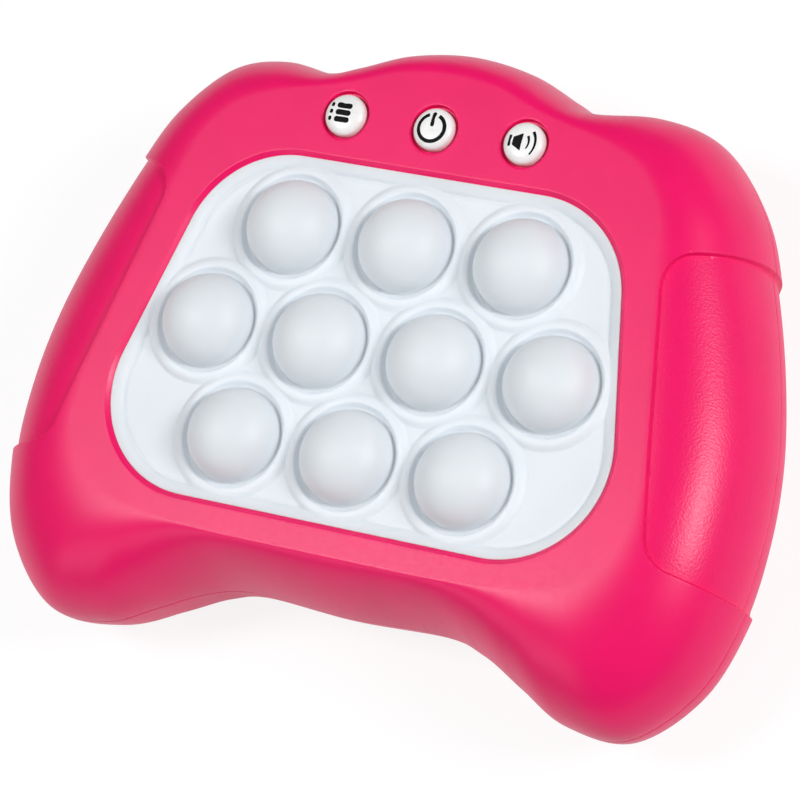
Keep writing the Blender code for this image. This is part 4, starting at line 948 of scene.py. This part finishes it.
def pad(look):
    """Silicone sheet with a lip, a clamped flange and soft rings round the bubbles."""
    skin = Skin()
    edge = window_outline(PAD_LAP)
    wall = window_outline(-PAD_WALL_GAP)
    flange = window_outline(PAD_FLANGE)
    flange_z = CEILING_Z - FIT_GAP
    holes = circles(BUBBLE_RADIUS + FIT_GAP, DOME_STEPS * 2, BUBBLE_PLACES)
    guides = [window_outline(PAD_LAP - EDGE_ROUND * share) for share in PAD_EDGE_SHARES]
    skin.fill([edge] + holes + guides, pad_height, len(holes), pad_points())
    skin.loft([np.column_stack([edge, pad_height(edge)]), level(wall, FACE_Z - WINDOW_CHAMFER - EDGE_ROUND),
               level(wall, flange_z), level(flange, flange_z), level(flange, PAD_UNDER_Z)])
    for ring in holes:
        skin.loft([np.column_stack([ring, pad_height(ring)]), level(ring, PAD_UNDER_Z)])
    skin.fill([flange] + holes, PAD_UNDER_Z, len(holes))
    return follow_slope(shade(skin.made("silicone_pad"), look), pad_height)


def dome_profile(radius, low, high, bands):
    """Points of a dome's quarter section from its foot up to its top."""
    return [(radius * math.cos(turn), low + (high - low) * math.sin(turn))
            for turn in np.linspace(0, math.pi / 2, bands + 1)]


def bubble(index, place, look):
    """Soft dome whose foot stands in its hole in the pad."""
    foot_z = GROOVE_Z + (BUBBLE_TOP_Z - GROOVE_Z) * BUBBLE_STEP_SHARE
    outer = dome_profile(BUBBLE_RADIUS, foot_z, BUBBLE_TOP_Z, DOME_BANDS)
    foot = [(BUBBLE_RADIUS + FIT_GAP * (1 - share) ** 2, GROOVE_Z + BUBBLE_FOOT_ROUND * share)
            for share in np.linspace(0, 1, BUBBLE_FOOT_STEPS + 1)]
    inner_radius = BUBBLE_RADIUS - BUBBLE_SKIN
    inner = dome_profile(inner_radius, foot_z, BUBBLE_TOP_Z - BUBBLE_SKIN, DOME_BANDS // 2)
    profile = inner[::-1] + [(inner_radius, PAD_UNDER_Z), (BUBBLE_RADIUS, PAD_UNDER_Z),
                             (BUBBLE_RADIUS, GROOVE_Z - FIT_GAP)] + foot + outer
    made = shade(turned(f"dome_{index}", profile, DOME_STEPS, [place]), look)
    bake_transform(made)
    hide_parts(f"bubble_{index}")
    return made


def crown_height(reach):
    """Height of a button's crown at a distance from its middle."""
    share = np.clip(reach / BUTTON_RADIUS, 0, 1)
    return BUTTON_TOP_Z - BUTTON_CROWN * (1 - (1 - share ** CROWN_POWER) ** (1 / CROWN_POWER))


def button(name, place, look):
    """Crowned cap with a flange under the case and a stem to its switch."""
    flange_top = CEILING_Z - FIT_GAP
    flange_low = flange_top - BUTTON_FLANGE
    flange = BUTTON_RADIUS + BUTTON_FLANGE
    turns = np.linspace(0, math.pi / 2, DOME_BANDS + 1)
    reaches = BUTTON_RADIUS * np.cos(turns).clip(0) ** (2 / CROWN_POWER)
    crown = list(zip(reaches.tolist(), crown_height(reaches).tolist()))
    profile = crown[::-1] + [(BUTTON_RADIUS, flange_top), (flange, flange_top), (flange, flange_low),
                             (BUTTON_STEM_RADIUS, flange_low), (BUTTON_STEM_RADIUS, STEM_TIP_Z),
                             (0, STEM_TIP_Z)]
    made = shade(turned(f"{name}_cap", profile, BUTTON_STEPS, [place]), look)
    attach(made, f"{name}_button_body")
    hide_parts(f"{name}_button")
    return made


# Printed signs on the buttons, drawn in millimetres from the button's middle

def bar(x, y, half_x, half_y, radius):
    """A bar with round ends."""
    return rounded_outline(rectangle(half_x, half_y, x, y), radius, 0, 6)


def band(radius, half_stroke, first, last, taper=0.0):
    """A curved stroke between two angles in degrees, which may thin towards its first end."""
    turns = np.radians(np.linspace(first, last, 40))
    thin = half_stroke * (1 - taper * (1 - np.linspace(0, 1, len(turns))))
    aims = np.column_stack([np.cos(turns), np.sin(turns)])
    return np.concatenate([aims * (radius + thin)[:, None], (aims * (radius - thin)[:, None])[::-1]])


def menu_sign():
    """Three bars with a dot before each."""
    shapes = []
    for y in (-1.35, 0.1, 1.55):
        shapes.append(bar(0.02, y, 1.65, 0.57, 0.55))
        shapes.append(bar(-2.63, y, 0.38, 0.46, 0.36))
    return shapes


def power_sign():
    """An open ring with an upright bar through its gap."""
    shift = np.array([0.0, -0.13])
    return [band(2.75, 0.37, 112, 428) + shift, bar(0, 1.75, 0.4, 1.5, 0.38) + shift]


def sound_sign():
    """A horn with two waves."""
    horn = rounded_outline([(-1.95, -0.93), (0.0, -1.93), (0.0, 1.67), (-1.95, 0.67)], 0.12, 0, 3)
    shift = np.array([-1.0, -0.13])
    return [bar(-2.6, -0.13, 0.3, 1.15, 0.2), horn, band(2.45, 0.28, -30, 34, 0.5) + shift,
            band(3.75, 0.3, -36, 40, 0.5) + shift]


def printed(name, shapes, place, look):
    """Thin print that follows a button's crown."""
    skin = Skin()
    for shape in shapes:
        outline = np.asarray(shape) * MM
        low, high = outline.min(axis=0), outline.max(axis=0)
        grid = np.array([(x, y) for x in np.arange(low[0], high[0], PRINT_GRID)
                         for y in np.arange(low[1], high[1], PRINT_GRID)])
        points, triangles = filled([outline], 0, grid)
        used = sorted({corner for face in triangles for corner in face})
        number = {corner: index for index, corner in enumerate(used)}
        points = points[used]
        triangles = [[number[corner] for corner in face] for face in triangles]
        reach = np.linalg.norm(points, axis=1)
        for rise in (PRINT_PROUD, -PRINT_SUNK):
            skin.add(np.column_stack([points + place, crown_height(reach) + rise]), triangles)
        ring = outline + place
        edge = crown_height(np.linalg.norm(outline, axis=1))
        skin.loft([np.column_stack([ring, edge + rise]) for rise in (PRINT_PROUD, -PRINT_SUNK)])
    made = shade(skin.made(f"{name}_print"), look)
    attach(made, f"{name}_button_body")
    return made


# Door and screws

def battery_door(look):
    """Door over the battery bay with soft edges, ribs, tabs and an ear for its screw."""
    skin = Skin()
    rise = [(DOOR_EDGE_ROUND - across, DOOR_INSET + DOOR_EDGE_ROUND - up)
            for across, up in arc((0, 0), DOOR_EDGE_ROUND, 90, 0, 4)]
    rings = [level(door_outline(-across), z) for across, z in rise]
    skin.close(rings + [level(door_outline(0), DOOR_TOP_Z)], [door_outline(-2 * DOOR_EDGE_ROUND)])
    door = skin.made("bay_door")
    ear = [(0, DOOR_INSET)] + [(EAR_RADIUS - across, z) for across, z in rise]
    ear += [(EAR_RADIUS, DOOR_TOP_Z), (EAR_BOSS_RADIUS, DOOR_TOP_Z), (EAR_BOSS_RADIUS, EAR_TOP_Z),
            (0, EAR_TOP_Z)]
    fuse(door, turned("ear", ear, ROUND_STEPS, [EAR_PLACE]))
    reach = TAB_REACH + DOOR_MARGIN
    tabs = bay_pair(reach / 2, TAB_WIDTH / 2, DOOR_MARGIN - DOOR_HALF_LENGTH - reach / 2, TAB_Y)
    fuse(door, prisms("tabs", tabs, DOOR_TOP_Z - TAB_THICKNESS, DOOR_TOP_Z))
    ribs = bay_pair(DOOR_RIB_LENGTH / 2, DOOR_RIB_WIDTH / 2, 0, CELL_PITCH / 2)
    fuse(door, prisms("ribs", ribs, DOOR_TOP_Z - DOOR_THICKNESS / 2, DOOR_TOP_Z + DOOR_RIB_HEIGHT))
    seat_z = DOOR_INSET + DOOR_SCREW_SUNK + DOOR_SCREW_HEAD + FIT_GAP
    cut(door, rods("head", DOOR_SCREW_HEAD_RADIUS + FIT_GAP, SCREW_STEPS, [EAR_PLACE], -OVERRUN, seat_z))
    cut(door, rods("shank", DOOR_SCREW_RADIUS + FIT_GAP, SCREW_STEPS, [EAR_PLACE], 0, EAR_TOP_Z + OVERRUN))
    shade(door, look)
    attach(door, "door")
    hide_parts("battery_door")
    return door


def screw(name, place, low, head, shank, length, look):
    """Screw with a cross recess, driven up from the back; head and shank are radius and height."""
    head_radius, head_height = head
    soft = head_height / 3
    rim = arc((head_radius - soft, low + soft), soft, -90, 0, 5)
    tip = low + head_height + length
    profile = [(0, low)] + rim + [(head_radius, low + head_height), (shank, low + head_height)]
    profile += [(shank, tip), (0, tip + shank)]
    made = turned(name, profile, SCREW_STEPS, [place])
    reach = min(CROSS_REACH, head_radius * CROSS_SHARE)
    cross = prisms("cross", [rectangle(reach, CROSS_WIDTH / 2, *place)], low - OVERRUN, low + CROSS_DEPTH)
    fuse(cross, prisms("cross_2", [rectangle(CROSS_WIDTH / 2, reach, *place)], low - OVERRUN - STAGGER,
                       low + CROSS_DEPTH))
    cut(made, cross)
    shade(made, look)
    return made


# Materials

def put(tree, node, values):
    """Give a node's inputs their values, or link them to the outputs of other nodes."""
    for socket, value in values.items():
        if isinstance(value, bpy.types.NodeSocket):
            tree.links.new(value, node.inputs[socket])
        else:
            node.inputs[socket].default_value = value


def add_node(tree, kind, values, **settings):
    """A new shader node with its settings and inputs."""
    made = tree.nodes.new("ShaderNode" + kind)
    for name, value in settings.items():
        setattr(made, name, value)
    put(tree, made, values)
    return made


def calculated(tree, operation, first, second):
    """The output of a calculation with two values."""
    return add_node(tree, "Math", {0: first, 1: second}, operation=operation).outputs[0]


def shaded(colour, factor):
    """A colour made darker or lighter."""
    return tuple(min(channel * factor, 1) for channel in colour)


class Look:
    """A node material built up from its Principled shader."""

    def __init__(self, name, colour, roughness, metallic=0.0):
        self.material = bpy.data.materials.new(name)
        self.material.use_nodes = True
        self.tree = self.material.node_tree
        self.colour = colour
        self.bumped = None
        self.place = add_node(self.tree, "TexCoord", {}).outputs["Object"]
        self.put({"Base Color": (*colour, 1), "Roughness": roughness, "Metallic": metallic})

    def put(self, values):
        """Set or link the inputs of the shader."""
        put(self.tree, self.tree.nodes["Principled BSDF"], values)

    def noise(self, size, detail, stretch=(1, 1, 1)):
        """Noise whose features have a size in millimetres."""
        place = add_node(self.tree, "Mapping", {"Vector": self.place, "Scale": stretch}).outputs["Vector"]
        values = {"Vector": place, "Scale": 1 / (size * MM), "Detail": detail}
        return add_node(self.tree, "TexNoise", values).outputs["Fac"]

    def ramp(self, value, low, high, start=0.3, end=0.7):
        """A value spread between two numbers."""
        values = {"Value": value, "From Min": start, "From Max": end, "To Min": low, "To Max": high}
        return add_node(self.tree, "MapRange", values).outputs["Result"]

    def vary(self, value, low, high, start=0.3, end=0.7):
        """Base colour that runs between two colours with a value."""
        share = self.ramp(value, 0, 1, start, end)
        mix = add_node(self.tree, "Mix", {"Factor": share}, data_type="RGBA")
        ends = [socket for socket in mix.inputs if socket.type == "RGBA"]
        for socket, colour in zip(ends, (low, high)):
            socket.default_value = (*colour, 1)
        self.put({"Base Color": [socket for socket in mix.outputs if socket.type == "RGBA"][0]})

    def tint(self, value, dark, pale):
        """Base colour that runs between two shades of its own with a value."""
        self.vary(value, shaded(self.colour, dark), shaded(self.colour, pale))

    def bump(self, value, strength, depth):
        """Add relief with a depth in millimetres to the surface."""
        values = {"Height": value, "Strength": strength, "Distance": depth * MM}
        if self.bumped:
            values["Normal"] = self.bumped
        self.bumped = add_node(self.tree, "Bump", values).outputs["Normal"]
        self.put({"Normal": self.bumped})


def finished(name):
    """One of the finishes, whose colour, roughness and relief all vary a little."""
    colour, roughness, tint, gloss, relief = FINISHES[name]
    look = Look(name, colour, roughness)
    look.tint(look.noise(*tint[:2]), *tint[2:])
    look.put({"Roughness": look.ramp(look.noise(*gloss[:2]), *gloss[2:])})
    look.bump(look.noise(*relief[:2]), *relief[2:])
    return look


def brushed_steel(name):
    """Plated steel with fine drawn lines."""
    look = Look(name, STEEL_COLOUR, STEEL_ROUGHNESS, 1.0)
    lines = look.noise(*STEEL_LINES[name])
    look.tint(lines, *STEEL_TINT)
    look.put({"Roughness": look.ramp(lines, *STEEL_GLOSS)})
    look.bump(lines, *STEEL_RELIEF)
    return look


def board_look():
    """Green solder mask with paler copper tracks under it."""
    look = Look("board", MASK_COLOUR, MASK_ROUGHNESS)
    values = {"Vector": look.place, **TRACKS}
    tracks = add_node(look.tree, "TexBrick", values, **TRACK_LAYOUT).outputs["Fac"]
    look.vary(tracks, MASK_COLOUR, TRACK_COLOUR, 0, 1)
    look.bump(tracks, *TRACK_RELIEF)
    return look


def add_leather(look):
    """Give a finish a leather grain in the grips."""
    values = {"Vector": look.place, **LEATHER}
    grain = add_node(look.tree, "TexVoronoi", values, feature="SMOOTH_F1").outputs["Distance"]
    grip = add_node(look.tree, "Attribute", {}, attribute_name="grip").outputs["Fac"]
    look.bump(calculated(look.tree, "MULTIPLY", grain, grip), *LEATHER_RELIEF)


def finishes():
    """Every finish by its name."""
    looks = {name: finished(name) for name in FINISHES}
    looks.update({name: brushed_steel(name) for name in STEEL_LINES})
    looks["board"] = board_look()
    add_leather(looks["case_plastic"])
    for name, values in SHADER_VALUES.items():
        looks[name].put(values)
    return looks


def dress_nodes(looks):
    """Give every CAD node that stays its finish."""
    for name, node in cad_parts.items():
        for start, finish in NODE_FINISHES.items():
            if name.startswith(start):
                for slot in node.material_slots:
                    slot.material = looks[finish].material


# Stage

def floor_look():
    """Pale floor that shows white to the camera, keeps the object's shadow and hides from below."""
    material = bpy.data.materials.new("floor")
    material.use_nodes = True
    tree = material.node_tree
    tree.nodes.clear()
    path = add_node(tree, "LightPath", {}).outputs
    mirrored = calculated(tree, "MULTIPLY", path["Is Glossy Ray"], MIRRORED_SHARE)
    seen = calculated(tree, "MAXIMUM", path["Is Camera Ray"], mirrored)
    seen = calculated(tree, "MAXIMUM", seen, path["Is Transmission Ray"])
    matte = add_node(tree, "BsdfDiffuse", {"Color": FLOOR_COLOUR}).outputs[0]
    glow = add_node(tree, "Emission", {"Color": WHITE, "Strength": GLOW_STRENGTH}).outputs[0]
    share = calculated(tree, "MULTIPLY", seen, GLOW_SHARE)
    pale = add_node(tree, "MixShader", {0: share, 1: matte, 2: glow}).outputs[0]
    back = add_node(tree, "NewGeometry", {}).outputs["Backfacing"]
    below = calculated(tree, "MULTIPLY", back, path["Is Camera Ray"])
    clear = add_node(tree, "BsdfTransparent", {}).outputs[0]
    shown = add_node(tree, "MixShader", {0: below, 1: pale, 2: clear}).outputs[0]
    add_node(tree, "OutputMaterial", {"Surface": shown})
    return material


def floor():
    """A wide floor under the object, open under its flat back so that light from below reaches it."""
    mesh = bpy.data.meshes.new("floor")
    hidden = inset_at(BACK_ROWS, COLUMNS, FLOOR_LAP)
    points, triangles = filled([rectangle(FLOOR_REACH, FLOOR_REACH), hidden], 1, ())
    mesh.from_pydata([tuple(point) for point in level(points, FLOOR_Z)], [], triangles)
    mesh.materials.append(floor_look())
    made = linked("floor", mesh)


def lights():
    """Soft square lamps aimed at the object, and a pale sky."""
    for name, (place, size, power) in LAMPS.items():
        data = bpy.data.lights.new(name, "AREA")
        data.shape = "SQUARE"
        data.size = size
        data.energy = power
        made = linked(name, data)
        made.location = place
        made.rotation_euler = (Vector(LAMP_AIM) - Vector(place)).to_track_quat("-Z", "Y").to_euler()
    world = bpy.data.worlds.new("sky")
    bpy.context.scene.world = world
    world.use_nodes = True
    tree = world.node_tree
    seen = add_node(tree, "LightPath", {}).outputs["Is Camera Ray"]
    strength = add_node(tree, "MapRange", {"Value": seen, "To Min": SKY_STRENGTH, "To Max": 1.0})
    put(tree, tree.nodes["Background"], {"Color": WHITE, "Strength": strength.outputs["Result"]})


def camera():
    """The camera at the photograph's place."""
    data = bpy.data.cameras.new("camera")
    data.lens = CAMERA_LENS
    data.sensor_width = CAMERA_SENSOR
    data.sensor_fit = "HORIZONTAL"
    made = linked("camera", data)
    axes = Matrix((CAMERA_RIGHT, CAMERA_UP, CAMERA_BACK)).transposed()
    made.matrix_world = Matrix.Translation(CAMERA_PLACE) @ axes.to_4x4()
    bpy.context.scene.camera = made
    bpy.context.scene.view_settings.view_transform = "Standard"


def dress():
    """Make every piece and give every node its finish."""
    looks = finishes()
    pink, silicone, steel = looks["case_plastic"], looks["silicone"], looks["screw_steel"]
    front = front_shell(pink)
    rear = rear_shell(pink)
    for made, node in ((front, "front_shell"), (rear, "rear_shell")):
        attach(made, "case")
        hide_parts(node)
    sheet = pad(silicone)
    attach(sheet, "case")
    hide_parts("bubble_pad")
    for index, place in enumerate(BUBBLE_PLACES, 1):
        bubble(index, place, silicone)
    signs = {"menu": menu_sign(), "power": power_sign(), "sound": sound_sign()}
    for (name, sign), place in zip(signs.items(), BUTTON_PLACES):
        button(name, place, looks["white_plastic"])
        printed(name, sign, place, looks["black_print"])
    battery_door(pink)
    for index, place in enumerate(SCREW_PLACES, 1):
        made = screw(f"shell_screw_{index}", place, SCREW_SEAT_Z - SCREW_HEAD_HEIGHT,
                     (SCREW_HEAD_RADIUS, SCREW_HEAD_HEIGHT), SCREW_SHANK_RADIUS, SCREW_LENGTH, steel)
        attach(made, "case")
        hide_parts(f"case_screw_{index}")
    made = screw("captive_screw", EAR_PLACE, DOOR_INSET + DOOR_SCREW_SUNK,
                 (DOOR_SCREW_HEAD_RADIUS, DOOR_SCREW_HEAD), DOOR_SCREW_RADIUS, DOOR_SCREW_LENGTH, steel)
    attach(made, "door")
    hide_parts("door_screw")
    dress_nodes(looks)


camera()
floor()
lights()
dress()
